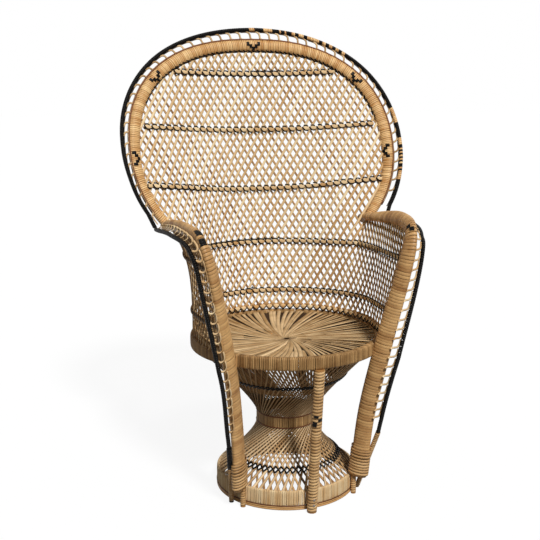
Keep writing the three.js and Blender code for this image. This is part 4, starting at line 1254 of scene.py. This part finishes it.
@dataclass
class CentrePosts:
    """Wound posts in front of the pedestal and behind it, with two nails in the front one."""

    diameter: float = 26.0
    foot_radius: float = 208.3
    top_radius: float = 258.0
    top: float = 401.7
    turn: float = 3.0
    pitch: float = 8.6
    wrap_stand: float = -0.3
    wrap_strip: Strip = (9.288, 1.8)
    foot_gap: float = 5.6
    # Share of the post's length and angle of each black square.
    marks: tuple[Span, ...] = ((0.695, -0.55), (0.672, 0.25), (0.65, -0.74), (0.634, -0.82))
    mark_span: float = 11.0
    mark_stand: float = 1.0
    mark_strip: Strip = (8.4, 1.6)
    nail_heights: tuple[float, ...] = (24.0, 40.0)
    nail_stand: float = 0.6
    nail_half: Point = (3.6, 3.6, 1.6)

    def rail(self, turn: float) -> Rail:
        """Centre line of the post at an angle from the front."""
        foot, top = around_axis(self.foot_radius, turn, 0.0), around_axis(self.top_radius, turn, self.top)
        return straight_rail(foot, top, self.diameter, tuple(around_axis(1.0, turn, 0.0)))

    def nails(self) -> None:
        """Sets the nail heads on the front post."""
        slope = (self.top_radius - self.foot_radius) / self.top
        out = self.diameter / 2 + self.nail_stand
        heads = np.array([around_axis(self.foot_radius + slope * height + out, self.turn, height)
                          for height in self.nail_heights])
        facing = np.tile(around_axis(1.0, self.turn, 0.0), (len(heads), 1))
        KNOBS.set("front_post_nails", heads, np.tile(UP, (len(heads), 1)), facing, self.nail_half, NAIL,
                  "front_post_nail_1", "front_post_nail_2")

    def build(self) -> None:
        """Builds and dresses both posts, the black squares and the nails."""
        for name, turn in (("front_post", self.turn), ("rear_post", self.turn + 180)):
            strands = Strands()
            strands.wind(self.rail(turn), self.pitch, self.wrap_stand, start=self.foot_gap)
            STRANDS.lay(name + "_wraps", strands, self.wrap_strip, POST_PEEL)
            keep_solid(name, POLE)
        rail = self.rail(self.turn)
        patches = Strands()
        for share, angle in self.marks:
            patches.patch(rail, share * rail.length, angle, self.mark_span, self.mark_stand)
        STRANDS.lay("front_post_marks", patches, self.mark_strip, BLACK)
        self.nails()


class Side(Enum):
    """The two sides of the chair."""

    RIGHT = "right"
    LEFT = "left"


# Black patches on each arm: share of the arm's length, angle of its section, length round it and turns.
ARM_MARKS: dict[Side, tuple[tuple[float, float, float, int], ...]] = {
    Side.LEFT: ((0.507, 0.42, 17.0, 3), (0.457, 0.3, 15.0, 3)),
    Side.RIGHT: ((0.498, 1.2, 11.5, 2), (0.475, 0.7, 11.5, 2)),
}


# Rows of each arm's laces, as in Lacing: the right ones end on the roll's front, the left ones start there.
LACE_LEGS: dict[Side, tuple[Point, ...]] = {
    Side.RIGHT: ((-0.95, 1.0, -0.4), (-0.6, 1.0, 0.2), (-0.34, 0.97, 0.8), (-0.15, 0.86, 1.6),
                 (-0.04, 0.66, 2.6), (0.02, 0.44, 4.0), (0.06, 0.24, 6.0), (0.12, 0.1, 8.4),
                 (0.2, 0.05, 10.4)),
    Side.LEFT: ((-0.95, 0.06, 9.0), (-0.6, 0.04, 9.4), (-0.3, 0.06, 9.0), (-0.1, 0.14, 7.6), (0.02, 0.3, 5.6),
                (0.06, 0.5, 3.8), (0.02, 0.72, 2.2), (-0.08, 0.9, 1.0), (-0.2, 1.0, 0.2)),
}


@dataclass
class Arm:
    """One arm: its wound roll and post, trim rail, lacing, lashing, spur and foot."""

    side: Side
    roll_thick: float = 24.0
    pitch: float = 8.0
    wrap_stand: float = -0.1
    wrap_strip: Strip = (9.12, 1.4)
    # Corners of the wrap's section, and points in a turn of each winding.
    wrap_sides: int = 8
    roll_turn: int = 18
    pole_turn: int = 10
    lashing_turn: int = 20
    wander: float = 0.12
    trim_diameter: float = 11.0
    trim_start: float = 0.0965
    trim_corner: float = 0.815
    trim_pitch: float = 5.6
    trim_stand: float = -0.5
    trim_strip: Strip = (6.1, 1.6)
    lacing_pitch: float = 26.0
    lace_strip: Strip = (6.0, 2.0)
    # Gaps from the laces to the roll and the rail, and from their ends to the rail's lower and upper end.
    lace_roll_gap: float = 1.2
    lace_rail_gap: float = 0.6
    lace_end_gaps: Span = (4.0, 2.0)
    # Axis of the foot and the spur, radius, angle and height of their ends, and their diameters.
    foot_way: Point = (0.7, -0.7, 0.0)
    foot_low: Point = (202.3, 50.0, 4.4)
    foot_high: Point = (202.3, 50.0, 62.0)
    foot_diameter: float = 14.0
    spur_low: Point = (201.8, 62.0, 0.0)
    spur_diameter: float = 13.0
    spur_gap: float = 8.5
    foot_pitch: float = 6.4
    foot_stand: float = -0.2
    spur_stand: float = -0.4
    foot_strip: Strip = (7.0, 1.5)
    # Share of the left spur's length from which its winding is black, and the gap under it.
    spur_black: float = 0.66
    spur_black_gap: float = 6.0
    spur_black_strip: Strip = (6.0, 2.0)
    # Shares of the arm between which the lashing lies, and its section.
    lashing_shares: Span = (0.004, 0.056)
    lashing_section: Span = (57.0, 33.0)
    lashing_points: int = 60
    lashing_pitch: float = 8.2
    lashing_stand: float = -0.4
    lashing_strip: Strip = (8.8, 2.6)
    mark_pitch: float = 5.0
    mark_stand: float = 1.2
    mark_strip: Strip = (7.4, 1.4)

    @property
    def name(self) -> str:
        """The side's name, which starts the names of the arm's pieces."""
        return self.side.value

    @property
    def front(self) -> float:
        """Sign of a rail's short axis towards the chair's front."""
        return 1.0 if self.side is Side.LEFT else -1.0

    def turned(self, rail: Rail) -> Rail:
        """The rail on this arm's side."""
        return rail.flipped() if self.side is Side.LEFT else rail

    def roll(self) -> Rail:
        """Centre line of the roll."""
        share = np.linspace(0, 1, ARM_POINTS)
        width = LINES.along_arm(LINES.arm_widths, share)
        return self.turned(Rail(LINES.arm(share), LINES.arm_long(share), width, self.roll_thick))

    def marks(self, roll: Rail) -> None:
        """Lays the black patches on the roll."""
        patches = Strands()
        for share, angle, span, turns in ARM_MARKS[self.side]:
            run = float(np.interp(share, np.linspace(0, 1, ARM_POINTS), roll.run))
            for turn in range(turns):
                place = run + (turn - (turns - 1) / 2) * self.mark_pitch
                patches.patch(roll, place, self.front * angle, span, self.mark_stand)
        STRANDS.lay(f"{self.name}_arm_marks", patches, self.mark_strip, BLACK)

    def trim(self) -> None:
        """Winds the trim rail in black cane."""
        share = np.linspace(self.trim_start, self.trim_corner, ARM_TRIM_POINTS)
        rail = Rail(LINES.arm_trim(share), LINES.arm_flange(share), self.trim_diameter, self.trim_diameter)
        wraps = Strands()
        wraps.wind(self.turned(rail), self.trim_pitch, self.trim_stand, self.pole_turn)
        STRANDS.lay(f"{self.name}_arm_trim_wraps", wraps, self.trim_strip, BLACK, f"{self.name}_arm_trim")

    def lacing(self) -> None:
        """Laces a flat strand out to the trim rail and down along the roll, pitch by pitch."""
        share = np.linspace(self.trim_start, self.trim_corner, ARM_TRIM_POINTS)
        roll = self.turned(Rail(LINES.arm(share), LINES.arm_flange(share), 1.0, 1.0))
        near = LINES.arm_edge(share, self.roll_thick) + self.lace_roll_gap
        far = LINES.along_arm(LINES.arm_reaches, share) - self.trim_diameter / 2 - self.lace_rail_gap
        lacing = Lacing(roll, near, far, self.lacing_pitch, self.front, -1.0, LACE_LEGS[self.side])
        low, high = self.lace_end_gaps
        STRANDS.lay(f"{self.name}_arm_laces", lacing.strands(low, roll.length - high), self.lace_strip, REED,
                    f"{self.name}_arm_lacing")

    def foot(self) -> None:
        """Winds the foot and the spur."""
        feet = Strands()
        foot = straight_rail(around_axis(*self.foot_low), around_axis(*self.foot_high), self.foot_diameter,
                             self.foot_way)
        feet.wind(self.turned(foot), self.foot_pitch, self.foot_stand, self.pole_turn)
        tip = LINES.arm_trim(np.array([self.trim_start]))[0]
        spur = self.turned(straight_rail(around_axis(*self.spur_low), tip, self.spur_diameter, self.foot_way))
        end = None
        if self.side is Side.LEFT:
            start = self.spur_black * spur.length
            end = start - self.spur_black_gap
            black = Strands()
            black.wind(spur, self.trim_pitch, self.spur_stand, self.pole_turn, start=start)
            STRANDS.lay(f"{self.name}_spur_black", black, self.spur_black_strip, BLACK)
        feet.wind(spur, self.foot_pitch, self.spur_stand, self.pole_turn, start=self.spur_gap, end=end)
        STRANDS.lay(f"{self.name}_foot_wraps", feet, self.foot_strip, POST_PEEL)
        keep_solid(f"{self.name}_post_foot", POLE)
        keep_solid(f"{self.name}_trim_spur", BLACK if self.side is Side.LEFT else POLE)

    def lashing(self) -> None:
        """Winds the lashing that ties the post and the spur."""
        share = np.linspace(*self.lashing_shares, self.lashing_points)
        rail = self.turned(Rail(LINES.arm(share), LINES.arm_flange(share), *self.lashing_section))
        turns = Strands()
        turns.wind(rail, self.lashing_pitch, self.lashing_stand, self.lashing_turn, wander=self.wander)
        STRANDS.lay(f"{self.name}_lashing_turns", turns, self.lashing_strip, POST_PEEL,
                    f"{self.name}_post_lashing")

    def build(self) -> None:
        """Builds and dresses the arm."""
        roll = self.roll()
        strands = Strands()
        strands.wind(roll, self.pitch, self.wrap_stand, self.roll_turn, wander=self.wander)
        STRANDS.lay(f"{self.name}_arm_wraps", strands, self.wrap_strip, ARM_PEEL, sides=self.wrap_sides)
        keep_solid(f"{self.name}_arm_roll", POLE)
        self.marks(roll)
        self.trim()
        self.lacing()
        self.foot()
        self.lashing()


@dataclass
class BackHoop:
    """Hoop round the back: wound roll, black and natural trim rail, lacing and edge lashing."""

    roll_width: float = 34.0
    roll_thick: float = 24.0
    pitch: float = 5.2
    wrap_stand: float = -0.2
    wrap_strip: Strip = (5.72, 1.5)
    trim_diameter: float = 11.0
    trim_share: float = 0.92
    trim_pitch: float = 5.4
    trim_stand: float = -0.5
    trim_strip: Strip = (6.0, 1.7)
    # Points of the trim's tail to each arm, and the share of the way at which it ends.
    tail_points: int = 20
    tail_end: float = 0.1
    lacing_share: float = 0.93
    lacing_pitch: float = 28.0
    lace_strip: Strip = (6.2, 2.4)
    lace_rail_gap: float = 0.6
    # Distance of the brown border from the roll, and of its two strands from the middle.
    border_gap: float = 1.4
    border_half: float = 2.6
    border_strip: Strip = (4.4, 2.4)
    # Gap between the rail and the thin strand under it, and how far that lies to the front.
    under_gap: float = 0.4
    under_front: float = 1.0
    under_strip: Strip = (2.4, 1.8)
    # Share of the hoop and angle of its section, in degrees, for the foot of each black V.
    mark_places: tuple[Span, ...] = (
        (0.0, 116.0), (-0.392, 116.0), (0.4, 116.0), (-0.722, 92.0), (0.714, 116.0))
    # Distance along and angle round from one square of a V to the next, and length of the lowest square.
    mark_step: float = 8.0
    mark_turn: float = 0.38
    mark_span: float = 9.0
    mark_stand: float = 1.1
    mark_strip: Strip = (9.4, 1.6)
    # Shares of the hoop between which its inner edge is lashed in black.
    edge_shares: Span = (-0.5, 0.6)
    # Distance along and angle of the section, in degrees, of each point of a dash on the inner edge.
    edge_dash: tuple[Span, ...] = ((-8.0, 138.0), (-3.5, 148.0), (2.0, 160.0), (6.0, 176.0))
    edge_pitch: float = 14.0
    edge_stand: float = 1.2
    edge_strip: Strip = (4.8, 2.0)
    edge_overrun: float = 12.0
    edge_wave: float = 0.12
    edge_points: int = 500
    # Stretches of the trim rail that are wound in natural cane, by share of the hoop.
    natural: tuple[Span, ...] = (
        (-0.007, 0.003), (0.024, 0.048), (0.066, 0.07), (0.083, 0.09), (0.104, 0.114), (0.13, 0.146),
        (0.159, 0.202), (0.215, 0.228), (0.241, 0.254), (0.267, 0.28), (0.293, 0.306), (0.575, 0.632),
        (0.678, 0.698), (0.706, 0.713), (0.72, 0.727), (0.734, 0.741), (0.748, 0.755), (0.762, 0.769),
        (0.776, 0.783), (0.794, 0.823))

    def roll(self) -> Rail:
        """Centre line of the roll, from the left kink over the top to the right one."""
        share = np.linspace(-1, 1, HOOP_POINTS)
        return Rail(LINES.hoop(share), LINES.hoop_flange(share), self.roll_width, self.roll_thick)

    def run_at(self, roll: Rail, share: float) -> float:
        """Length along the roll at a share of the hoop."""
        return float(np.interp(share, np.linspace(-1, 1, HOOP_POINTS), roll.run))

    def trim_line(self) -> tuple[Rail, Array]:
        """Centre line of the trim rail with its short tails to the arm trims, and its shares of the hoop."""
        share = np.linspace(-self.trim_share, self.trim_share, TRIM_POINTS)
        corner = LINES.arm_trim(np.array([Arm.trim_corner]))[0]
        tail = LINES.hoop_trim(np.array([self.trim_share]))[0]
        steps = np.linspace(1, self.tail_end, self.tail_points)[1:, None]
        right = corner + (tail - corner) * steps
        points = np.vstack([mirrored(right)[::-1], LINES.hoop_trim(share), right])
        flange = LINES.hoop_flange(share)
        left_way, right_way = (np.tile(flange[k], (len(steps), 1)) for k in (0, -1))
        rail = Rail(points, np.vstack([left_way, flange, right_way]), self.trim_diameter, self.trim_diameter)
        ends = np.linspace(self.trim_share, 1, self.tail_points)[1:]
        return rail, np.concatenate([-ends[::-1], share, ends])

    def marks(self, roll: Rail) -> None:
        """Lays black squares in small V shapes on the roll's front."""
        patches = Strands()
        for share, degrees in self.mark_places:
            apex, run = math.radians(degrees), self.run_at(roll, share)
            for step in (-2, -1, 0, 1, 2):
                angle = apex - self.mark_turn * abs(step)
                span = self.mark_span + abs(step)
                patches.patch(roll, run + self.mark_step * step, angle, span, self.mark_stand)
        STRANDS.lay("back_hoop_marks", patches, self.mark_strip, BLACK)

    def trim(self) -> None:
        """Winds the trim rail turn by turn in black cane, with stretches of natural cane."""
        rail, shares = self.trim_line()
        black, plain = Strands(), Strands(SEED + 2)
        for i in range(int(rail.length / self.trim_pitch)):
            run = i * self.trim_pitch
            share = float(np.interp(run, rail.run, shares))
            bare = any(start <= share < end for start, end in self.natural)
            (plain if bare else black).turn(rail, run, self.trim_pitch, self.trim_stand)
        STRANDS.lay("back_hoop_trim_black", black, self.trim_strip, BLACK, "back_hoop_trim")
        STRANDS.lay("back_hoop_trim_natural", plain, self.trim_strip, PEEL)

    def lacing(self, roll: Rail) -> None:
        """Laces a strand out to the trim rail, with brown strands along the roll and one under the rail."""
        start, end = (self.run_at(roll, share) for share in (-self.lacing_share, self.lacing_share))
        near = self.roll_width / 2 + self.border_gap
        reaches = LINES.hoop_reaches(np.linspace(-1, 1, HOOP_POINTS))
        far = reaches - self.trim_diameter / 2 - self.lace_rail_gap
        lacing = Lacing(roll, np.full(len(far), near), far, self.lacing_pitch)
        STRANDS.lay("back_hoop_laces", lacing.strands(start, end), self.lace_strip, SEAT_REED,
                    "back_hoop_lacing")
        run = np.linspace(start, end, BORDER_POINTS)
        facing = roll.pick(roll.short, run)
        border = Strands(SEED + 6)
        for side in (self.border_half, -self.border_half):
            border.add(roll.at(run, near, side), facing)
        STRANDS.lay("back_hoop_border", border, self.border_strip, BINDING)
        under = Strands()
        under.add(roll.at(run, np.interp(run, roll.run, far) - self.under_gap, self.under_front), facing)
        STRANDS.lay("back_hoop_under_rail", under, self.under_strip, BLACK)

    def edge(self, roll: Rail) -> None:
        """Lashes black dashes along the roll's inner edge, over the ends of the weave."""
        dashes = Strands()
        lean, degrees = np.array(self.edge_dash).T
        start, end = (self.run_at(roll, share) for share in self.edge_shares)
        for run in np.arange(start, end, self.edge_pitch):
            dashes.add(*roll.skin(run + lean, np.radians(degrees), self.edge_stand))
        line = np.linspace(start - self.edge_overrun, end + self.edge_overrun, self.edge_points)
        wave = math.pi + self.edge_wave * np.sin(line / self.edge_pitch * FULL_TURN)
        dashes.add(*roll.skin(line, wave, self.edge_stand))
        STRANDS.lay("back_hoop_edge", dashes, self.edge_strip, BLACK)

    def build(self) -> None:
        """Builds and dresses the hoop."""
        roll = self.roll()
        strands = Strands()
        strands.wind(roll, self.pitch, self.wrap_stand)
        STRANDS.lay("back_hoop_wraps", strands, self.wrap_strip, PEEL)
        keep_solid("back_hoop_roll", POLE)
        self.marks(roll)
        self.trim()
        self.lacing(roll)
        self.edge(roll)


@dataclass
class Ribbon:
    """A line along the woven surface with its directions along, up and towards the sitter."""

    turn: Array
    height: Array
    run: Array = field(init=False)
    points: Array = field(init=False)
    along: Array = field(init=False)
    up: Array = field(init=False)
    normal: Array = field(init=False)

    def __post_init__(self) -> None:
        """Works out the line on the surface."""
        share = np.minimum(LINES.share_at(self.turn, self.height), 1.0)
        self.points = LINES.woven(self.turn, share)
        self.normal = LINES.woven_normal(self.turn, share)
        self.run = line_lengths(self.points)
        self.run = self.run - self.run[-1] / 2
        self.along = unit(np.gradient(self.points, self.run, axis=0))
        self.up = np.cross(self.normal, self.along)

    def pick(self, values: Array, run: Array) -> Array:
        """Vectors at distances from the line's middle."""
        return along_line(self.run, values, run)

    def at(self, run: Array, rise: Array, lift: Array) -> Array:
        """Points at distances from the middle, up the surface and off it."""
        run = np.asarray(run, float)
        rise, lift = np.broadcast_to(rise, run.shape), np.broadcast_to(lift, run.shape)
        return (self.pick(self.points, run) + self.pick(self.up, run) * rise[:, None]
                + self.pick(self.normal, run) * lift[:, None])

    def knobs(self, name: str, run: Array, rise: float, lift: float, half: Point, finish: CaneFinish,
              *nodes: str) -> None:
        """Sets knobs along the line, up the surface and off it."""
        along, facing = self.pick(self.along, run), self.pick(self.normal, run)
        KNOBS.set(name, self.at(run, rise, lift), along, facing, half, finish, *nodes)


@dataclass
class WovenBack:
    """Open diamond weave of the back and sides, with its hem and its five twined bands."""

    cell: float = 21.0
    lean: float = 0.618
    row_step: float = 6.0
    front_strip: Strip = (8.6, 2.0)
    rear_strip: Strip = (7.0, 2.0)
    layer: float = 1.5
    # How unevenly the strands lie, in cells, and how much their breadths and shades differ.
    place_wander: float = 0.035
    breadth_wander: float = 0.05
    tone_mean: float = 0.58
    tone_spread: float = 0.24
    # Share of the surface's height where strands end under the roll, and their least number of rows.
    top_share: float = 0.995
    over_share: float = 1.08
    least_rows: int = 3
    band_height: float = 14.0
    # Height of each band in the middle and at its ends, as shares of the way from the seat to the hoop's top.
    bands: tuple[tuple[str, float, float], ...] = (
        ("back_band_5", 0.077, 0.1), ("back_band_4", 0.266, 0.292), ("back_band_3", 0.468, 0.505),
        ("back_band_2", 0.688, 0.709), ("back_band_1", 0.895, 0.905))
    # Stretch of each band that carries black points, from the band's middle.
    pointed: tuple[Span, ...] = ((-60.0, -30.0), (-172.0, 55.0), (0.0, 0.0), (0.0, 0.0), (-4.0, 66.0))
    # Angles from the posts to the ends of the bands and the hem, and the least gap after a line's last cell.
    band_end_turn: float = 2.0
    hem_end_turn: float = 5.0
    cell_gap: float = 4.0
    # Black hook under each scale of a band and dash over it: distance along in cells, and height.
    hook: tuple[Span, ...] = (
        (-0.53, 3.6), (-0.44, 0.2), (-0.32, -3.8), (-0.14, -6.8), (0.08, -7.6), (0.28, -7.2))
    hook_lift: float = 5.6
    dash: tuple[Span, ...] = ((-0.36, 7.9), (-0.08, 8.2), (0.12, 7.0), (0.24, 4.4))
    dash_lift: float = 4.4
    dash_stretch: float = 1.6
    # Height along a black point, and the factor on its breadth.
    point: tuple[Span, ...] = ((8.2, 1.0), (11.0, 0.6), (14.0, 0.12))
    scale_half: Point = (11.4, 6.0, 1.5)
    scale_rise: float = 0.2
    scale_lift: float = 3.6
    black_strip: Strip = (4.2, 2.2)
    point_strip: Strip = (11.0, 2.6)
    # Twined row behind a band: its swing up and down, its distance behind, and its swing to and fro.
    rope_rise: float = 3.4
    rope_lift: float = -4.4
    rope_swing: float = 1.5
    rope_points: int = 8
    rope_strip: Strip = (6.0, 2.6)
    hem_height: float = 8.0
    # Rise, lift and half size of the hem's knobs, and of the row over them.
    hem_knob_place: Span = (1.4, 6.0)
    hem_knob_half: Point = (9.8, 7.4, 3.8)
    hem_row_place: Span = (8.8, 4.0)
    hem_row_half: Point = (9.6, 4.4, 3.2)
    # Heights of the hem's black zigzag.
    hem_zigzag: Span = (4.0, -6.6)
    hem_black_lift: float = 9.6
    hem_black_strip: Strip = (4.4, 2.2)

    def unrolled(self) -> tuple[Array, Array, Array]:
        """Unrolls the woven surface.

        Returns:
            Angles, heights, and the distance round from the middle of the back at each height and angle.
        """
        turns = np.arange(-LINES.post_turn, LINES.post_turn + 0.1, 1.0)
        heights = np.arange(LINES.seat_height + LINES.hem_lift, LINES.hoop_top, self.row_step)
        rounds = []
        for height in heights:
            share = np.clip(LINES.share_at(turns, height), 0, self.over_share)
            run = line_lengths(LINES.woven(turns, share)[:, :2])
            rounds.append(run - run[len(turns) // 2])
        return turns, heights, np.array(rounds)

    def family(self, lean: float, lift: float, seed: int) -> Strands:
        """Straight strands of one slant over the whole surface.

        Args:
            lean: Distance round for each unit of height, positive to +X.
            lift: Distance off the surface towards the sitter.
            seed: Seed of the strands' tones.

        Returns:
            The strands.
        """
        turns, heights, rounds = self.unrolled()
        strands = Strands(seed)
        reach = int((rounds.max() + abs(lean) * (heights[-1] - heights[0])) / self.cell) + 1
        for k in range(-reach, reach + 1):
            place = (k + strands.rng.normal(0, self.place_wander)) * self.cell + lean * (heights - heights[0])
            shade = tones(strands.rng, self.tone_spread, mean=self.tone_mean)
            turn = np.array([np.interp(place[r], rounds[r], turns) for r in range(len(heights))])
            share = LINES.share_at(turn, heights)
            inside = (place > rounds[:, 0]) & (place < rounds[:, -1]) & (share < self.top_share)
            edges = np.flatnonzero(np.diff(np.concatenate([[0], inside.astype(int), [0]])))
            for start, end in zip(edges[::2], edges[1::2]):
                if end - start < self.least_rows:
                    continue
                rows = slice(start, end)
                normal = LINES.woven_normal(turn[rows], share[rows])
                points = LINES.woven(turn[rows], share[rows]) + normal * lift
                strands.add(points, normal, shade, 1 + strands.rng.normal(0, self.breadth_wander))
        return strands

    def weave(self) -> None:
        """Lays the two slants, the wide pale one in front."""
        front = self.family(self.lean, self.layer, SEED)
        STRANDS.lay("back_weave_front", front, self.front_strip, REED, "back_lattice")
        # Brown reed on the rear slant, partly painted shade of lying behind the front one.
        rear = self.family(-self.lean, -self.layer, SEED + 3)
        STRANDS.lay("back_weave_rear", rear, self.rear_strip, BROWN_REED)

    def ribbon(self, middle: float, ends: float) -> Ribbon:
        """Line of a band on the surface."""
        rise = LINES.hoop_top - LINES.seat_height
        low, high = LINES.seat_height + middle * rise, LINES.seat_height + ends * rise
        reach = LINES.post_turn - self.band_end_turn
        if high > LINES.kink_height:
            reach = LINES.hoop_turn(high + self.band_height)
        turn = np.linspace(-reach, reach, BAND_POINTS)
        return Ribbon(turn, low + (high - low) * (turn / reach) ** 2)

    def cells(self, ribbon: Ribbon) -> Array:
        """Middles of a band's cells."""
        half = int((ribbon.run[-1] - self.cell_gap) / self.cell)
        return np.arange(-half, half + 1) * self.cell

    def band(self, name: str, ribbon: Ribbon, pointed: Span) -> None:
        """Makes a band: natural scales, black dashes or points above, hooks below, and a twined row behind.

        Args:
            name: Name of the band's solid.
            ribbon: Its line on the surface.
            pointed: Stretch that carries black points.
        """
        places = self.cells(ribbon)
        ribbon.knobs(name + "_scales", places, self.scale_rise, self.scale_lift, self.scale_half, REED, name)
        black, points = Strands(), Strands(SEED + 8)
        hook, dash = np.array(self.hook), np.array(self.dash)
        stretched = dash * np.array([self.dash_stretch, 1.0])
        heights, factors = np.array(self.point).T
        for place in places:
            in_points = pointed[0] < place < pointed[1]
            for shape, lift in ((hook, self.hook_lift), (stretched if in_points else dash, self.dash_lift)):
                run = place + shape[:, 0] * self.cell
                black.add(ribbon.at(run, shape[:, 1], lift), ribbon.pick(ribbon.normal, run))
            if in_points:
                run = np.full(len(heights), place + self.cell / 2)
                facing = ribbon.pick(ribbon.normal, run)
                points.add(ribbon.at(run, heights, self.scale_lift), facing, 0.5, factors)
        STRANDS.lay(name + "_black", black, self.black_strip, BLACK)
        if points.points:
            STRANDS.lay(name + "_points", points, self.point_strip, BLACK)
        self.rope(name, ribbon, places)

    def rope(self, name: str, ribbon: Ribbon, places: Array) -> None:
        """Twines a black and a brown strand behind a band."""
        half = self.cell / 2
        run = np.linspace(places[0] - half, places[-1] + half, len(places) * self.rope_points)
        facing = ribbon.pick(ribbon.normal, run)
        for phase, tag, finish in ((0.0, "_rear_black", BLACK), (math.pi, "_rear", BROWN_REED)):
            wave = run * FULL_TURN / self.cell + phase
            lift = self.rope_lift - self.rope_swing * np.cos(wave)
            rope = Strands(SEED + 4)
            rope.add(ribbon.at(run, self.rope_rise * np.sin(wave), lift), facing)
            STRANDS.lay(name + tag, rope, self.rope_strip, finish)

    def hem(self) -> None:
        """Makes the hem: a twined row over large round knobs on the seat, with a black zigzag under them."""
        reach = LINES.post_turn - self.hem_end_turn
        turn = np.linspace(-reach, reach, BAND_POINTS)
        ribbon = Ribbon(turn, np.full(BAND_POINTS, LINES.seat_height + self.hem_height))
        places = self.cells(ribbon)
        half = self.cell / 2
        ribbon.knobs("hem_knobs", places, *self.hem_knob_place, self.hem_knob_half, REED, "hem_band")
        ribbon.knobs("hem_row", places[:-1] + half, *self.hem_row_place, self.hem_row_half, BROWN_REED)
        run = np.arange(places[0] - half, places[-1] + self.cell, half)
        rise = np.where(np.arange(len(run)) % 2 == 0, *self.hem_zigzag)
        black = Strands()
        black.add(ribbon.at(run, rise, self.hem_black_lift), ribbon.pick(ribbon.normal, run))
        STRANDS.lay("hem_black", black, self.hem_black_strip, BLACK)

    def build(self) -> None:
        """Builds and dresses the weave, its bands and its hem."""
        self.weave()
        for (name, middle, ends), pointed in zip(self.bands, self.pointed):
            self.band(name, self.ribbon(middle, ends), pointed)
        self.hem()


# Studio


@dataclass
class Studio:
    """Camera at the photograph's view, pale floor, soft key from the front and an even, white surround."""

    lens: float = 61.09
    sensor: float = 36.0
    eye: Point = (-0.676, -2.325, 1.098)
    yaw: float = -15.21
    pitch: float = -11.51
    roll: float = -0.16
    key_strength: float = 3.2
    key_angle: float = 9.0
    # The way the key light travels: in from the front, a little from the right, and down.
    key_way: Point = (-0.14, 1.0, -1.05)
    surround: float = 0.18
    floor_size: float = 60.0
    floor_drop: float = 0.0005
    # Light that the floor throws back at the chair.
    floor_colour: str = "6e6a64"
    # Shading of the floor that the camera sees, over an even glow; together they come to white.
    floor_shading: str = "5a5a5a"
    floor_glow: float = 0.91
    white: tuple[float, float, float, float] = (1.0, 1.0, 1.0, 1.0)

    def camera(self) -> None:
        """Sets the camera."""
        yaw, pitch, roll = (math.radians(a) for a in (self.yaw, self.pitch, self.roll))
        ahead = Vector((-math.sin(yaw) * math.cos(pitch), math.cos(yaw) * math.cos(pitch), math.sin(pitch)))
        right = Vector((math.cos(yaw), math.sin(yaw), 0))
        up = right.cross(ahead)
        level = right * math.cos(roll) + up * math.sin(roll)
        upright = up * math.cos(roll) - right * math.sin(roll)
        data = bpy.data.cameras.new("camera")
        data.lens = self.lens
        data.sensor_width = self.sensor
        camera = bpy.data.objects.new("camera", data)
        turn = Matrix((level, upright, -ahead)).transposed().to_4x4()
        camera.matrix_world = Matrix.Translation(Vector(self.eye) + Vector((0, AXIS_Y, 0))) @ turn
        bpy.context.scene.collection.objects.link(camera)
        bpy.context.scene.camera = camera

    def lights(self) -> None:
        """Sets the key lamp and the white surround."""
        data = bpy.data.lights.new("key", "SUN")
        data.energy = self.key_strength
        data.angle = math.radians(self.key_angle)
        lamp = bpy.data.objects.new("key", data)
        lamp.rotation_euler = Vector(self.key_way).to_track_quat("-Z", "Y").to_euler()
        bpy.context.scene.collection.objects.link(lamp)
        world = bpy.data.worlds.new("surround")
        world.use_nodes = True
        bpy.context.scene.world = world
        tree = world.node_tree
        strength = add_node(tree, "ShaderNodeMapRange", {
            "Value": self.looked_at(tree), "To Min": self.surround, "To Max": 1.0}).outputs["Result"]
        shade = tree.nodes["Background"]
        shade.inputs["Color"].default_value = self.white
        tree.links.new(strength, shade.inputs["Strength"])

    @staticmethod
    def looked_at(tree: bpy.types.NodeTree) -> bpy.types.NodeSocket:
        """Output that is 1 for camera, mirror and glass rays, and 0 for rays that light the chair."""
        path = add_node(tree, "ShaderNodeLightPath").outputs
        seen = path["Is Camera Ray"]
        for other in ("Is Glossy Ray", "Is Transmission Ray"):
            seen = add_node(tree, "ShaderNodeMath", {0: seen, 1: path[other]}, operation="MAXIMUM").outputs[0]
        return seen

    def floor(self) -> None:
        """Lays the pale floor, white to the camera apart from the chair's shadow."""
        half = self.floor_size / 2
        corners = [(-half, -half, 0), (half, -half, 0), (half, half, 0), (-half, half, 0)]
        mesh = bpy.data.meshes.new("floor")
        mesh.from_pydata(corners, [], [(0, 1, 2, 3)])
        floor = bpy.data.objects.new("floor", mesh)
        floor.location.z = -self.floor_drop
        material = bpy.data.materials.new("pale floor")
        material.use_nodes = True
        tree = material.node_tree
        tree.nodes.remove(tree.nodes["Principled BSDF"])
        plain, shaded = (add_node(tree, "ShaderNodeBsdfDiffuse", {"Color": linear(colour)}).outputs[0]
                         for colour in (self.floor_colour, self.floor_shading))
        glow = add_node(tree, "ShaderNodeEmission", {
            "Color": self.white, "Strength": self.floor_glow}).outputs[0]
        white = add_node(tree, "ShaderNodeAddShader", {0: shaded, 1: glow}).outputs[0]
        mixed = add_node(tree, "ShaderNodeMixShader", {
            0: self.looked_at(tree), 1: plain, 2: white}).outputs[0]
        tree.links.new(mixed, tree.nodes["Material Output"].inputs["Surface"])
        mesh.materials.append(material)
        bpy.context.scene.collection.objects.link(floor)

    def build(self) -> None:
        """Sets up the studio."""
        self.camera()
        self.lights()
        self.floor()
        bpy.context.scene.view_settings.view_transform = "Standard"


def main() -> None:
    logging.basicConfig(level=logging.INFO, format="%(message)s")
    Studio().build()
    arms = [Arm(side) for side in Side]
    for assembly in (Pedestal(), Seat(), CentrePosts(), *arms, BackHoop(), WovenBack()):
        assembly.build()


if __name__ == "__main__":
    main()
